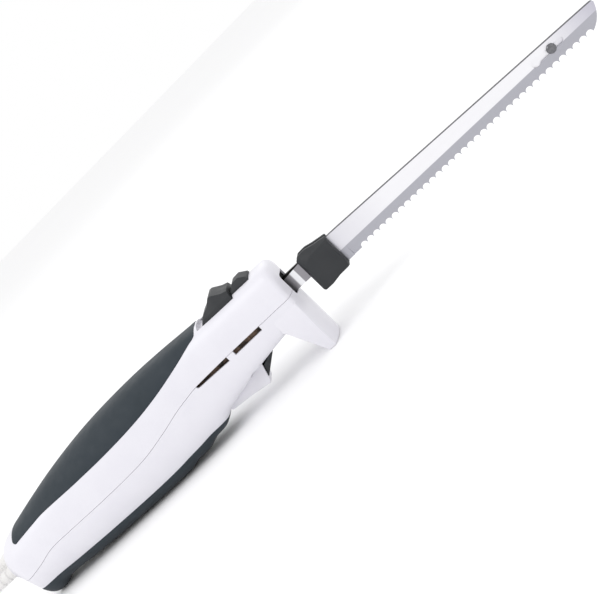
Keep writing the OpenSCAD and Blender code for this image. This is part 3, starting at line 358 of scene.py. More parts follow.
def object_place(tree, scale=(1, 1, 1)):
    """Place on the piece, in metres, stretched along each axis by the scale."""
    place = add_node(tree, "ShaderNodeTexCoord")
    turn = add_node(tree, "ShaderNodeMapping")
    turn.inputs["Scale"].default_value = scale
    tree.links.new(place.outputs["Object"], turn.inputs["Vector"])
    return turn.outputs["Vector"]


def noise(tree, vector, scale, detail=3.0, rough=0.5):
    """Cloudy pattern from 0 to 1."""
    node = add_node(tree, "ShaderNodeTexNoise")
    node.inputs["Scale"].default_value = scale
    node.inputs["Detail"].default_value = detail
    node.inputs["Roughness"].default_value = rough
    tree.links.new(vector, node.inputs["Vector"])
    return node.outputs["Fac"]


def ramp(tree, value, low, high, a, b):
    """Linear map of a value from low..high to a..b, held at its ends."""
    node = add_node(tree, "ShaderNodeMapRange")
    for key, v in zip(("From Min", "From Max", "To Min", "To Max"), (low, high, a, b)):
        node.inputs[key].default_value = v
    tree.links.new(value, node.inputs["Value"])
    return node.outputs["Result"]


def two_tone(tree, factor, first, second, target):
    """Mix of two colours, led to a shader's socket."""
    mix = add_node(tree, "ShaderNodeMix", data_type="RGBA")
    mix.inputs["A"].default_value = (*first, 1)
    mix.inputs["B"].default_value = (*second, 1)
    tree.links.new(factor, mix.inputs["Factor"])
    tree.links.new(mix.outputs["Result"], target)


def bump(tree, shader, height, strength, distance):
    """Fine relief that follows a pattern."""
    node = add_node(tree, "ShaderNodeBump")
    node.inputs["Strength"].default_value = strength
    node.inputs["Distance"].default_value = distance
    tree.links.new(height, node.inputs["Height"])
    tree.links.new(node.outputs["Normal"], shader.inputs["Normal"])


def moulded(name, colour, shade, rough, grain=2200.0, depth=0.00001, coat=0.0, specular=0.5,
            sheen=0.0, cloud=60.0):
    """Moulded plastic or rubber: faint cloudy colour, fine spark-eroded grain, uneven gloss."""
    mat, tree, shader = material(name, colour, rough, coat=coat, specular=specular, sheen=sheen)
    place = object_place(tree)
    two_tone(tree, ramp(tree, noise(tree, place, cloud, 4.0), 0.35, 0.65, 0, 1), colour, shade,
             shader.inputs["Base Color"])
    fine = noise(tree, place, grain, 2.0, 0.6)
    tree.links.new(ramp(tree, noise(tree, place, 180.0, 3.0), 0.3, 0.7, rough - 0.06, rough + 0.06),
                   shader.inputs["Roughness"])
    bump(tree, shader, fine, 0.5, depth)
    return mat


def drawn_metal(name, colour, shade, rough, along=(1, 1, 1)):
    """Metal with fine lines drawn along one direction."""
    mat, tree, shader = material(name, colour, rough, metallic=1.0)
    place = object_place(tree, along)
    lines = noise(tree, place, 900.0, 4.0, 0.6)
    two_tone(tree, ramp(tree, lines, 0.3, 0.7, 0, 1), colour, shade, shader.inputs["Base Color"])
    tree.links.new(ramp(tree, lines, 0.3, 0.7, rough - 0.06, rough + 0.08),
                   shader.inputs["Roughness"])
    bump(tree, shader, lines, 0.4, 0.000004)
    return mat


def dress(target, mat):
    """Gives the whole piece one finish."""
    data = target.data
    if len(data.materials):
        for i in range(len(data.materials)):
            data.materials[i] = mat
    else:
        data.materials.append(mat)


white_shell = moulded("white_gloss_plastic", (0.735, 0.725, 0.775), (0.715, 0.705, 0.757), 0.34,
                      coat=0.15, depth=0.000003)
slate_rubber = moulded("slate_soft_touch", (0.021, 0.030, 0.038), (0.025, 0.034, 0.043), 0.62,
                       grain=3000.0, depth=0.000012, specular=0.3, sheen=0.04)
charcoal = moulded("charcoal_plastic", (0.031, 0.033, 0.036), (0.036, 0.038, 0.041), 0.5,
                   depth=0.000006, specular=0.22)
# vent screens: a near-black base that is painted shade inside the vents, with tan patches in the
# colour of the brown parts behind them
vent_shade_and_brown = moulded("vent_screen_shade_and_brown", (0.022, 0.016, 0.012), (0.17, 0.11, 0.075), 0.55,
                       specular=0.3, cloud=330.0)
black_plastic = moulded("black_plastic", (0.012, 0.012, 0.013), (0.016, 0.016, 0.017), 0.45)
brown_plastic = moulded("brown_phenolic", (0.42, 0.29, 0.20), (0.34, 0.23, 0.15), 0.5)
nylon = moulded("natural_nylon", (0.72, 0.69, 0.58), (0.66, 0.63, 0.52), 0.45)
red_plastic = moulded("red_plastic", (0.45, 0.04, 0.03), (0.40, 0.035, 0.025), 0.4)
ferrite = moulded("dark_ferrite", (0.04, 0.038, 0.04), (0.05, 0.048, 0.05), 0.6)
board_green = moulded("board_laminate", (0.07, 0.15, 0.05), (0.09, 0.18, 0.06), 0.4)
vinyl = moulded("white_vinyl", (0.74, 0.73, 0.72), (0.70, 0.69, 0.68), 0.42, depth=0.000004)
plain_steel = drawn_metal("plain_steel", (0.62, 0.62, 0.64), (0.52, 0.52, 0.54), 0.32)
zinc = drawn_metal("zinc_plate", (0.55, 0.56, 0.56), (0.45, 0.46, 0.46), 0.4, (0.1, 1, 1))
stud_steel = drawn_metal("polished_stud", (0.20, 0.20, 0.21), (0.14, 0.14, 0.15), 0.14)
brass = drawn_metal("brass", (0.78, 0.6, 0.28), (0.68, 0.5, 0.22), 0.3)
copper = drawn_metal("enamelled_copper", (0.6, 0.27, 0.13), (0.42, 0.17, 0.08), 0.35)


def blade_steel():
    """Satin stainless blade: lines ground across the flat, a greyer band ground to the edge
    below height 33.7 mm on the outer faces, painted shade along the back, and a painted
    reflection that takes the flat from white to lavender at both ends. The tang outside the
    housing has a painted highlight in its middle, painted shade at both ends and a painted
    shade strip along its top."""
    mat, tree, shader = material("ground_blade_steel", (0.7, 0.7, 0.72), 0.3, metallic=1.0)
    place = object_place(tree)
    split = add_node(tree, "ShaderNodeSeparateXYZ")
    tree.links.new(place, split.inputs["Vector"])
    x, y, z = (split.outputs[k] for k in "XYZ")

    def sum_of(first, second, how="ADD"):
        """Sum, product or size of patterns and plain numbers."""
        node = add_node(tree, "ShaderNodeMath", operation=how)
        for i, v in enumerate((first, second)):
            if isinstance(v, float):
                node.inputs[i].default_value = v
            else:
                tree.links.new(v, node.inputs[i])
        return node.outputs["Value"]

    def mixed(factor, first, second):
        """Colour that goes from the first to the second as the factor goes from 0 to 1."""
        mix = add_node(tree, "ShaderNodeMix", data_type="RGBA")
        for key, v in (("A", first), ("B", second)):
            if isinstance(v, tuple):
                mix.inputs[key].default_value = (*v, 1)
            else:
                tree.links.new(v, mix.inputs[key])
        tree.links.new(factor, mix.inputs["Factor"])
        return mix.outputs["Result"]

    # each pair of places, in metres, is where a colour starts to give way to the next one
    outer_face, ground_top = (0.0002, 0.0003), (0.0335, 0.0338)
    heel_reflection_fade, tip_reflection_fade = (0.046, 0.085), (0.196, 0.233)
    back_slope, spine_shade_line = 0.03123, (0.04618, 0.04634)
    tang_highlight_start, tang_highlight_end, block_face = (0.0162, 0.0170), (0.0198, 0.0203), (0.0246, 0.0248)
    tang_slope, tang_top_shade = -0.1, (0.0421, 0.0423)

    outer = ramp(tree, sum_of(y, 0.0, "ABSOLUTE"), *outer_face, 0, 1)
    band = sum_of(ramp(tree, z, *ground_top, 1, 0), outer, "MULTIPLY")
    # painted reflection: the flat turns from white to lavender towards the heel and the tip
    ends = sum_of(ramp(tree, x, *heel_reflection_fade, 0.45, 0), ramp(tree, x, *tip_reflection_fade, 0, 1))
    flat = mixed(ends, (0.84, 0.835, 0.86), (0.52, 0.51, 0.58))
    colour = mixed(band, flat, (0.42, 0.42, 0.46))
    # painted shade: a dark line along the back of the blade, where the backs of the two blades and
    # the gap between them lie in shade
    back = sum_of(sum_of(x, back_slope, "MULTIPLY"), z)
    colour = mixed(ramp(tree, back, *spine_shade_line, 0, 1), colour, (0.10, 0.10, 0.11))
    # painted highlight in the middle of the tang, painted shade at its ends beside the housing and
    # the block
    painted_tang_highlight = sum_of(ramp(tree, x, *tang_highlight_start, 0, 1), ramp(tree, x, *tang_highlight_end, 1, 0), "MULTIPLY")
    tang = mixed(painted_tang_highlight, (0.30, 0.29, 0.31), (0.86, 0.86, 0.88))
    # painted shade: a near-black strip along the top of the tang, where the gap between the two
    # tangs lies in shade
    top = sum_of(z, sum_of(x, tang_slope, "MULTIPLY"))
    tang = mixed(ramp(tree, top, *tang_top_shade, 0, 1), tang, (0.012, 0.011, 0.011))
    colour = mixed(ramp(tree, x, *block_face, 1, 0), colour, tang)
    tree.links.new(colour, shader.inputs["Base Color"])
    lines = noise(tree, object_place(tree, (1, 1, 0.06)), 2600.0, 3.0, 0.6)
    cloud = ramp(tree, noise(tree, place, 40.0, 3.0), 0.3, 0.7, 0.27, 0.33)
    tree.links.new(sum_of(sum_of(lines, 0.16, "MULTIPLY"), cloud), shader.inputs["Roughness"])
    bump(tree, shader, lines, 0.35, 0.000004)
    return mat


FINISH = {"housing": white_shell, "soft": slate_rubber, "dark": charcoal, "steel": plain_steel,
          "blade": blade_steel(), "brown": brown_plastic, "nylon": nylon, "black": black_plastic,
          "red": red_plastic, "can": zinc, "magnet": ferrite, "brass": brass, "copper": copper,
          "board": board_green, "cord": vinyl}
slot_of = {part["node"]: part["material_slot"] for part in frame["record"]["subparts"]}
for name, node in nodes.items():
    dress(node, FINISH[slot_of[name]])

set_camera()


# ---------------------------------------------------------------- cord, relief, coil and plug

COIL = (-110.0, 42.0)
COIL_IN, COIL_OUT = 24.0, 42.0
TAIL_TURN = math.radians(30)
TAIL_LEN = 48.0
PLUG_H = 7.0
TURNS_IN = 3                 # turns of the lower layer, before the climb
COIL_TURNS = 8 - 210 / 360
TURN_STEPS = 28              # points on each turn
LEAD_STEPS = 45              # points on the lead
LEAD = table("0 27.6, -17 27.6, -34 27.6, -41 27.1, -50 24.6, -59 20.4, -68 15.3, -77 10.4,"
             "-86 6.6, -95 4.2, -103 3.1, -110 3")


def cord_route():
    """Cord's centre line: straight out, down to the table, a flat spiral inwards, the climb on
    to the second layer, the spiral back outwards and a short tail to the plug."""
    place = np.linspace(0, len(LEAD) - 1, LEAD_STEPS)
    i = np.minimum(place.astype(int), len(LEAD) - 2)
    f = (place - i)[:, None]
    a, b, c, d = (LEAD[np.clip(i + k, 0, len(LEAD) - 1)] for k in (-1, 0, 1, 2))
    lead = 0.5 * (2 * b + (c - a) * f + (2 * a - 5 * b + 4 * c - d) * f ** 2
                  + (3 * b - 3 * c + d - a) * f ** 3)
    lead = np.stack([lead[:, 0], np.zeros(LEAD_STEPS), lead[:, 1]], 1)
    turn = np.append(np.arange(0, COIL_TURNS, 1 / TURN_STEPS)[1:], COIL_TURNS)
    out = np.minimum(COIL_IN + CORD_D * (turn - TURNS_IN - 1), COIL_OUT)
    radius = np.where(turn < TURNS_IN, COIL_OUT - CORD_D * turn,
                      np.where(turn < TURNS_IN + 1, COIL_IN, out))
    climb = np.clip(turn - TURNS_IN, 0, 1)
    height = CORD_D / 2 + CORD_D * np.sin(climb * math.pi / 2)
    angle = -math.pi / 2 - 2 * math.pi * turn
    coil = np.stack([COIL[0] + radius * np.cos(angle), COIL[1] + radius * np.sin(angle), height], 1)
    s = np.linspace(0, TAIL_LEN + 3, 11)[1:]
    tail = np.stack([COIL[0] - COIL_OUT * math.sin(TAIL_TURN) + s * math.cos(TAIL_TURN),
                     COIL[1] + COIL_OUT * math.cos(TAIL_TURN) + s * math.sin(TAIL_TURN),
                     PLUG_H + 2 * np.cos(np.minimum(s / TAIL_LEN, 1) * math.pi / 2) ** 2], 1)
    return np.concatenate([lead, coil, tail])


def tube_along(route, radius, sides):
    """Round tube: a ring square to the route at each point, turned no more than the route."""
    step = np.gradient(route, axis=0)
    step /= np.linalg.norm(step, axis=1)[:, None]
    side = np.cross(step, [0.0, 0.0, 1.0])
    side /= np.linalg.norm(side, axis=1)[:, None]
    up = np.cross(side, step)
    a = np.linspace(0, 2 * math.pi, sides, endpoint=False)
    return (route[:, None, :] + radius * (np.cos(a)[None, :, None] * side[:, None, :]
                                          + np.sin(a)[None, :, None] * up[:, None, :]))


route = cord_route()
flex = piece("mains_cord", *ring_solid(tube_along(route, CORD_D / 2, 14)), smooth=60)
fix_normals(flex)
dress(flex, vinyl)
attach(flex, "housing")
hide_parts("cord_lead", "cord_coil", "cord_tail")


def relief_profile():
    """Strain relief's radius along x: a taper with six rounded ribs and the grooves between."""
    long, ribs, thin, wide = 34, 6, 3.45, 4.2
    x = np.linspace(-long, 0, 103)
    taper = thin + (wide - thin) * (x + long) / long
    phase = ((x + long) / (long / ribs)) % 1.0
    groove = np.clip((np.abs(phase - 0.5) - 0.30) / 0.12, 0, 1)
    radius = taper - 0.75 * groove * groove * (3 - 2 * groove)
    ends = [[-34.2, 3.05], [-34.1, 3.2]]
    return np.concatenate([ends, np.stack([x, radius], 1), [[1.5, 3.5]]])


relief = piece("cord_relief", *ring_solid(turned(relief_profile(), 48, CORD_EXIT)), smooth=50)
fix_normals(relief)
dress(relief, vinyl)
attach(relief, "housing")
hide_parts("strain_relief")


def tie_band():
    """Tie: a flat strap 4 mm wide carried round the coil's section, which is a rounded
    rectangle |u|^p + |v|^p = 1, with p = 2 / 0.36, about the middle of the section."""
    a = np.linspace(0, 2 * math.pi, 73)[:-1]
    mid = (COIL_IN + COIL_OUT) / 2
    half_u, half_v = (COIL_OUT - COIL_IN + CORD_D) / 2, CORD_D
    c, s = np.cos(a), np.sin(a)
    square = 0.36
    bend = np.sign(c) * np.abs(c) ** square, np.sign(s) * np.abs(s) ** square
    rings = []
    for grow, y in ((0.1, -1.7), (0.1, 1.7), (0.55, 2.0), (0.95, 1.7), (0.95, -1.7), (0.55, -2.0)):
        rings.append(np.stack([COIL[0] - mid + (half_u + grow) * bend[0],
                               np.full(len(a), COIL[1] + y),
                               np.maximum(half_v + (half_v + grow) * bend[1], 0.02)], 1))
    count = len(a) * len(rings)
    return np.array(rings).reshape(-1, 3), sheet_faces(len(rings) + 1, len(a), True) % count


tie = piece("cord_tie", *tie_band(), smooth=40)
fix_normals(tie)
dress(tie, black_plastic)
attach(tie, "housing")
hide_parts("coil_tie")


def plug_form():
    """Plug: rings across the plug's axis u, each a superellipse |y/a|^p + |z/b|^p = 1 with
    p = 2 / 0.55, with a waist behind the face and grip ribs along the middle."""
    u = np.array([0, 0.6, 2, 4, 6, 7, 8, 9, 10, 11, 12, 13, 14, 15, 16, 17, 18, 19, 20, 21.4, 22.4,
                  24.8, 25.6, 26])
    knots = [0, 2, 6, 12, 19, 21.4, 22.4, 25.6, 26]
    wide = np.interp(u, knots, [3.6, 4.4, 8.4, 9, 8.6, 9, 10.8, 10.8, 10.3])
    tall = np.interp(u, knots, [3.6, 4.2, 6.2, 6.6, 6.2, 6.4, 6.9, 6.9, 6.5])
    rib = np.where((u > 6.5) & (u < 19.5) & (np.round(u) % 2 == 1), 0.4, 0.0)
    a = np.linspace(0, 2 * math.pi, 64, endpoint=False)
    c, s, square = np.cos(a), np.sin(a), 0.55
    y = (wide - rib)[:, None] * (np.sign(c) * np.abs(c) ** square)[None, :]
    z = PLUG_H + (tall - 0.5 * rib)[:, None] * (np.sign(s) * np.abs(s) ** square)[None, :]
    start = (COIL[0] - COIL_OUT * math.sin(TAIL_TURN) + TAIL_LEN * math.cos(TAIL_TURN),
             COIL[1] + COIL_OUT * math.cos(TAIL_TURN) + TAIL_LEN * math.sin(TAIL_TURN))
    ct, st = math.cos(TAIL_TURN), math.sin(TAIL_TURN)
    uu = np.repeat(u[:, None], len(a), 1)
    return ring_solid(np.stack([start[0] + uu * ct - y * st, start[1] + uu * st + y * ct, z], -1))


plug = piece("mains_plug_body", *plug_form(), smooth=40)
fix_normals(plug)
dress(plug, vinyl)
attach(plug, "housing")
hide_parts("plug_body")


# ---------------------------------------------------------------- housing shells

VENTS = ((170.0, 194.4), (199.2, 220.0))
VENT_H = 2.8
GAP = 0.10                   # half of the groove along the seam
SLOT_HALF, SLOT_LOW, SLOT_TOP = 7.5, 33.8, 48.6
SHELL_THICK = 1.6
# Openings: where each starts and ends along X, Y and Z
LOCK_RECESS = (191.8, 220.0, -10.3, 10.3, 57.4, 80)
BUTTON_HOLE = (219.7, 233.1, -7.3, 7.3, 52, 80)
TRIGGER_MOUTH = (197.5, 213.6, -5.5, 5.5, 2, 27)
TRIGGER_BED = (177, 203, -5.5, 5.5, 12, 27)
SCREW_X, SCREW_Y, SCREW_HOLE = 196.7, 11.3, 3.2


def bowed(points):
    """Front end bowed in plan: each point goes back by bow * (y / half width)^2, in full at the
    front face and not at all BOW_LEN behind it."""
    points = np.array(points, float)
    share = np.clip((points[..., 0] - BODY + BOW_LEN) / BOW_LEN, 0, 1) ** 1.5
    points[..., 0] -= FRONT_BOW * (points[..., 1] / FRONT_HALF) ** 2 * share
    return points


def stations(start, stop, extra=()):
    """Places along the housing: even steps, closer at both ends, and the extra ones."""
    even = np.arange(start, stop, 1.5)
    rear = start + np.array([0, 0.15, 0.4, 0.8, 1.3, 2, 2.8])
    front = BODY - np.array([8, 7.2, 6.4, 5.6, 4.8, 4, 3.3, 2.6, 2, 1.5, 1, 0.6, 0.3, 0.1, 0])
    x = np.unique(np.round(np.concatenate([even, rear, front, extra]), 3))
    return x[(x >= start) & (x <= stop)]


def slot_ring(angle, low, high):
    """The front slot's outline at an angle about its middle: a superellipse of power 8, which
    is a rectangle with rounded corners."""
    mid, tall = (low + high) / 2, (high - low) / 2
    c, s = np.cos(angle), np.sin(angle)
    k = 1 / np.maximum(np.abs(c) ** 8 + np.abs(s) ** 8, 1e-9) ** 0.125
    return np.stack([SLOT_HALF * c * k, mid + tall * s * k], -1)


def shell_grid(x, first, last):
    """Skin between two edge angles at each station, as a grid of stations by 97 points."""
    t = np.linspace(0, 1, 97)[None, :]
    return skin(x[:, None], first[:, None] + (last - first)[:, None] * t)


def with_front(grid, hole):
    """Shell's skin with its front: rows from the rim in to the slot's outline at the front
    face, then back into the slot."""
    rim = grid[-1]
    rows = [(BODY, rim[:, 1:] * (1 - share) + hole * share) for share in (0.5, 1.0)]
    rows += [(BODY - depth, hole) for depth in (0.4, 1.2)]
    front = [np.concatenate([np.full((len(rim), 1), x), yz], 1)[None] for x, yz in rows]
    return bowed(np.concatenate([grid] + front))


def upper_shell():
    """Upper half: the skin from the seam on one side over the top to the seam on the other. Its
    front edge turns into the front face, which runs in to the slot, and back into the slot."""
    x = stations(0.0, BODY)
    edge = angle_at(x, curve(SEAM, x) + GAP)
    grid = shell_grid(x, edge, math.pi - edge)
    a = np.arctan2(grid[-1][:, 2] - SEAM_FRONT, grid[-1][:, 1])
    a[0], a[-1] = 0.0, math.pi
    hole = slot_ring(a, SEAM_FRONT - (SLOT_TOP - SEAM_FRONT), SLOT_TOP)
    hole[:, 1] = np.maximum(hole[:, 1], SEAM_FRONT + GAP)
    return with_front(grid, hole)


def lower_shell():
    """Lower half: the skin from the seam on one side under the floor to the other. Its upper
    edge drops by the vents' height where the vents are."""
    marks = [v + d for pair in VENTS for v in pair for d in (-0.01, 0.01)]
    marks += [VENTS[0][0] + d for d in (0.3, 0.7, 1.2)]
    x = stations(5.3, BODY, marks)
    z = curve(SEAM, x) - GAP
    for (a, b), slim, corner in zip(VENTS, (0.62, 1.0), (1.2, 0.01)):
        tall = VENT_H * (slim + (1 - slim) * (x - a) / (b - a))
        round_end = np.sqrt(np.clip(1 - (1 - np.clip((x - a) / corner, 0, 1)) ** 2, 0, 1))
        z = np.where((x > a) & (x < b), SEAM_FRONT - tall * np.maximum(round_end, 0.3), z)
    edge = angle_at(x, z)
    grid = shell_grid(x, math.pi - edge, 2 * math.pi + edge)
    a = np.arctan2(grid[-1][:, 2] - SEAM_FRONT, grid[-1][:, 1])
    a = np.where(a > 0.5, a - 2 * math.pi, a)
    a[0], a[-1] = -math.pi, 0.0
    hole = slot_ring(a, SLOT_LOW, SEAM_FRONT + (SEAM_FRONT - SLOT_LOW))
    hole[:, 1] = np.minimum(hole[:, 1], SEAM_FRONT - GAP)
    return with_front(grid, hole)


def shell_piece(name, grid):
    """Shell of even thickness, whose wall grows inwards from its outer skin."""
    obj = piece(name, grid, sheet_faces(*grid.shape[:2]), smooth=180)
    wall = obj.modifiers.new("wall", "SOLIDIFY")
    wall.thickness, wall.offset = SHELL_THICK * MM, -1.0
    apply_all(obj)
    return obj


def screw_hole(y):
    """Upright round cutter for a screw's hole in the floor."""
    a = np.linspace(0, 2 * math.pi, 32, endpoint=False)
    edge = np.stack([SCREW_X + SCREW_HOLE * np.cos(a), y + SCREW_HOLE * np.sin(a)], 1)
    return ring_solid([np.concatenate([edge, np.full((32, 1), z)], 1) for z in (2, 30)])


upper = shell_piece("upper_shell", upper_shell())
cut(upper, [box_solid(*LOCK_RECESS), box_solid(*BUTTON_HOLE)])
lower = shell_piece("lower_shell", lower_shell())
cut(lower, [box_solid(*TRIGGER_MOUTH), box_solid(*TRIGGER_BED),
            screw_hole(-SCREW_Y), screw_hole(SCREW_Y)])
for obj, name in ((upper, "upper_housing"), (lower, "lower_housing")):
    obj.data.shade_smooth()
    obj.data.set_sharp_from_angle(angle=math.radians(35))
    dress(obj, white_shell)
    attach(obj, "housing")
    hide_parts(name)


def guard_form():
    """Finger guard: its side view carried across the housing in steps, with quarter-round
    edges flush with the housing's sides, and bowed in plan like the front face."""
    outline = softened([[226.5, 33.2], [226.5, 25], [228.2, 22.2], [239.4, 0], [246.4, 0],
                        [247.04, 24], [247.04, 33.2]], 1.0)
    half, edge, across = FRONT_HALF + 0.02, 0.6, 11
    t = np.linspace(0, math.pi / 2, 5)
    side = half - edge * (1 - np.cos(t))
    draw = edge * (1 - np.sin(t))
    ys = np.concatenate([-side, np.linspace(-half + edge, half - edge, across + 2)[1:-1],
                         side[::-1]])
    ins = np.concatenate([draw, np.zeros(across), draw[::-1]])
    rings = []
    for y, d in zip(ys, ins):
        flat = inset_line(outline, d)
        rings.append(np.stack([flat[:, 0], np.full(len(flat), y), flat[:, 1]], 1))
    verts, faces = ring_solid(rings)
    return bowed(verts), faces


def hood_form():
    """Hood behind the trigger: two cheeks and the strip that joins them below."""
    cheek = softened([[170, 12], [170.8, 9.9], [184.6, 8.7], [198, 6.7], [199.1, 8.8], [202.2, 18],
                      [202.2, 22], [187, 22], [170.8, 17]], 0.5, 4)
    strip = [[170, 12], [170.8, 9.9], [184.6, 8.7], [198, 6.7], [199.1, 8.8], [199.6, 10.3],
             [198.2, 8.3], [184.6, 10.2], [172.3, 11.4], [171.5, 13.5]]
    left, right = plate(cheek, 5.5, 7, 0.35), plate(cheek, -7, -5.5, 0.35)
    under = ring_solid([[[p[0], y, p[1]] for p in strip] for y in (-5.8, 5.8)])
    return joined([left, right, under])


def deck_form():
    """Floor of the lock's recess, on which the lock slides, and the recess's rear wall. The
    wall's top follows the roof's arch, 0.4 mm below it."""
    half, rear, front, low, top = 10.7, 191.2, 219.6, 55.9, 57.4
    floor = plate(softened([[rear, low], [front, low], [front, top], [rear, top]], 0.3, 4),
                  -half, half, 0.2)
    x, y = 191.4, np.linspace(-half, half, 21)
    mid, power = curve(MID, x), curve(POWER_UP, x)
    arch = mid + (roof(x) - mid) * (1 - (np.abs(y) / half_width(x)) ** power) ** (1 / power) - 0.4
    wall = ring_solid([[[190.9, a, 56], [191.85, a, 56], [191.85, a, b], [190.9, a, b]]
                       for a, b in zip(y, arch)])
    return joined([floor, wall])


front = piece("guard_and_hood", *joined([guard_form(), hood_form(), deck_form()]), smooth=35)
fix_normals(front)
dress(front, white_shell)
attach(front, "housing")


# ---------------------------------------------------------------- buttons, trigger, blade blocks

def faceted(sections):
    """Faceted cap: at each x a six-sided section, from its foot up to a shoulder and in to a
    narrower top. A section is x, the foot's, shoulder's and top's height, and the shoulder's
    and top's half width."""
    rows = []
    for x, z0, zs, zt, ws, wt in sections:
        rows.append([[x, -ws, z0], [x, -ws, zs], [x, -wt, zt],
                     [x, wt, zt], [x, ws, zs], [x, ws, z0]])
    return ring_solid(rows)


lock = piece("lock_cap", *faceted([
    (195.5, 57.55, 57.75, 57.85, 10, 9.6), (198.8, 57.55, 60.2, 61.3, 10, 8.2),
    (204.9, 57.55, 60.3, 63.9, 10, 8), (208.8, 57.55, 60.35, 67.1, 10, 8),
    (210.6, 57.55, 60.4, 67.1, 10, 8), (216.0, 57.55, 60.4, 64, 10, 8),
    (219.3, 57.55, 60.4, 63, 10, 8)]))
fix_normals(lock)
bevelled(lock, 0.45, 12)
dress(lock, charcoal)
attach(lock, "lock")
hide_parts("lock_slide")

release = piece("release_cap", *faceted([
    (220.05, 55, 60, 60.6, 7, 5.8), (221, 55, 60, 61.1, 7, 5.4), (223.8, 55, 60, 63.1, 7, 5.4),
    (228.6, 55, 60, 63.4, 7, 5.4), (232.2, 55, 60, 61, 7, 5.4), (232.8, 55, 60, 60.4, 7, 5.9)]))
fix_normals(release)
bevelled(release, 0.4, 12)
dress(release, charcoal)
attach(release, "release")
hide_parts("release_button")


def trigger_form():
    """Trigger: a wedge under the finger with its arm, and a hub round the pin."""
    half, hub_radius, pin_x, pin_z = 5.1, 3.5, 214, 27
    wedge = softened([[211.2, 18.6], [199.4, 9.7], [193, 10.8], [193, 14], [200.5, 14],
                      [202.4, 17.9], [205, 18], [210, 25], [213.4, 24]], 0.5, 4)
    a = np.linspace(0, 2 * math.pi, 40, endpoint=False)
    hub = np.stack([pin_x + hub_radius * np.cos(a), pin_z + hub_radius * np.sin(a)], 1)
    return joined([plate(wedge, -half, half, 0.45), plate(hub, -half, half, 0.3)])


lever = piece("trigger_lever", *trigger_form(), smooth=40)
fix_normals(lever)
dress(lever, charcoal)
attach(lever, "trigger")
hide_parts("trigger")


def block_form(side):
    """Blade block: an inner outline beside the blade and a smaller outer one, as rings across
    the block, between which its faces slope."""
    inner = np.array([[0, -2], [1, -3], [7, -3], [13, -1.9], [20.3, -1.7], [21.3, 0], [21.3, 19.7],
                      [13, 21], [8, 22.2], [3, 22], [0, 20]]) + [BLOCK, EDGE]
    outer = np.array([[0.8, -1.4], [1.6, -2.4], [7, -2.4], [13, -1.4], [19.7, -1.2], [20.6, 0],
                      [20.6, 18.6], [13.2, 18.4], [9, 18], [4.4, 16.4], [2, 13]]) + [BLOCK, EDGE]
    beside_blade, shoulder, face = 1.12, 3.5, 6.6
    rings = [np.stack([o[:, 0], np.full(len(o), side * y), o[:, 1]], 1)
             for o, y in ((inner, beside_blade), (inner, shoulder), (outer, face))]
    return ring_solid(rings)


for side, name in ((1, "left"), (-1, "right")):
    grip = piece("pull_block_" + name, *block_form(side))
    fix_normals(grip)
    bevelled(grip, 0.5, 14)
    dress(grip, charcoal)
    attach(grip, name + "_blade")
    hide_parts("block_" + name)


def slot_shade_sleeve():
    """Black sleeve in the front slot, whose colour is painted shade inside the slot: the slot's
    outline carried back into the housing.
    """
    count = 64
    a = np.linspace(0, 2 * math.pi, count, endpoint=False)
    ring = slot_ring(a, SLOT_LOW, SLOT_TOP)
    centre, front, rear, inner, outer = 41.2, 245.6, 240.0, 0.999, 1.04
    rows = [np.concatenate([np.full((count, 1), x), ring * k + [[0, centre * (1 - k)]]], 1)
            for x, k in ((front, inner), (rear, inner), (rear, outer), (front, outer))]
    rows = bowed(np.array(rows + rows[:1]))
    return rows.reshape(-1, 3), sheet_faces(5, count, True)


# painted shade: a black sleeve inside the front slot
slot_shade = piece("slot_shade_sleeve", *slot_shade_sleeve(), smooth=40)
fix_normals(slot_shade)
dress(slot_shade, black_plastic)
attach(slot_shade, "housing")


def screen_form():
    """Screens behind the vents: a thin strip on each side with upright ribs 6 mm apart. Their
    near-black colour is painted shade inside the vents; their tan patches are the brown parts
    behind.
    """
    pitch, rib, back, face, low, high = 6.0, 1.5, 12.9, 13.7, 34.4, 38.4
    x = np.arange(168.0, 222.5, 0.5)
    depth = face + 0.5 * (np.mod(x, pitch) < rib)
    parts = []
    for side in (-1, 1):
        rings = [np.stack([np.full(4, u), side * np.array([back, d, d, back]),
                           np.array([low, low, high, high])], 1) for u, d in zip(x, depth)]
        parts.append(ring_solid(rings))
    return joined(parts)


screen = piece("vent_shade_screens", *screen_form(), smooth=30)
fix_normals(screen)
dress(screen, vent_shade_and_brown)
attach(screen, "housing")


def stud_form():
    """Domed head of the blade stud: a low crown, radius wide cos t and height tall sin t, on a
    straight rim."""
    wide, tall, foot, rim, sides = 2.8, 1.1, 1.18, 1.5, 40
    t = np.linspace(0, math.pi / 2 - 0.04, 9)
    radius = np.concatenate([[wide], wide * np.cos(t)])
    y = -np.concatenate([[foot], rim + tall * np.sin(t)])
    a = np.linspace(0, 2 * math.pi, sides, endpoint=False)
    x0, z0 = BLADE_TIP - 31.4, EDGE + 8.7
    rings = np.stack([x0 + radius[:, None] * np.cos(a), np.repeat(y[:, None], sides, 1),
                      z0 + radius[:, None] * np.sin(a)], -1)
    return ring_solid(rings)


stud = piece("blade_stud_head", *stud_form(), smooth=50)
fix_normals(stud)
dress(stud, stud_steel)
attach(stud, "left_blade")


# ---------------------------------------------------------------- soft pads

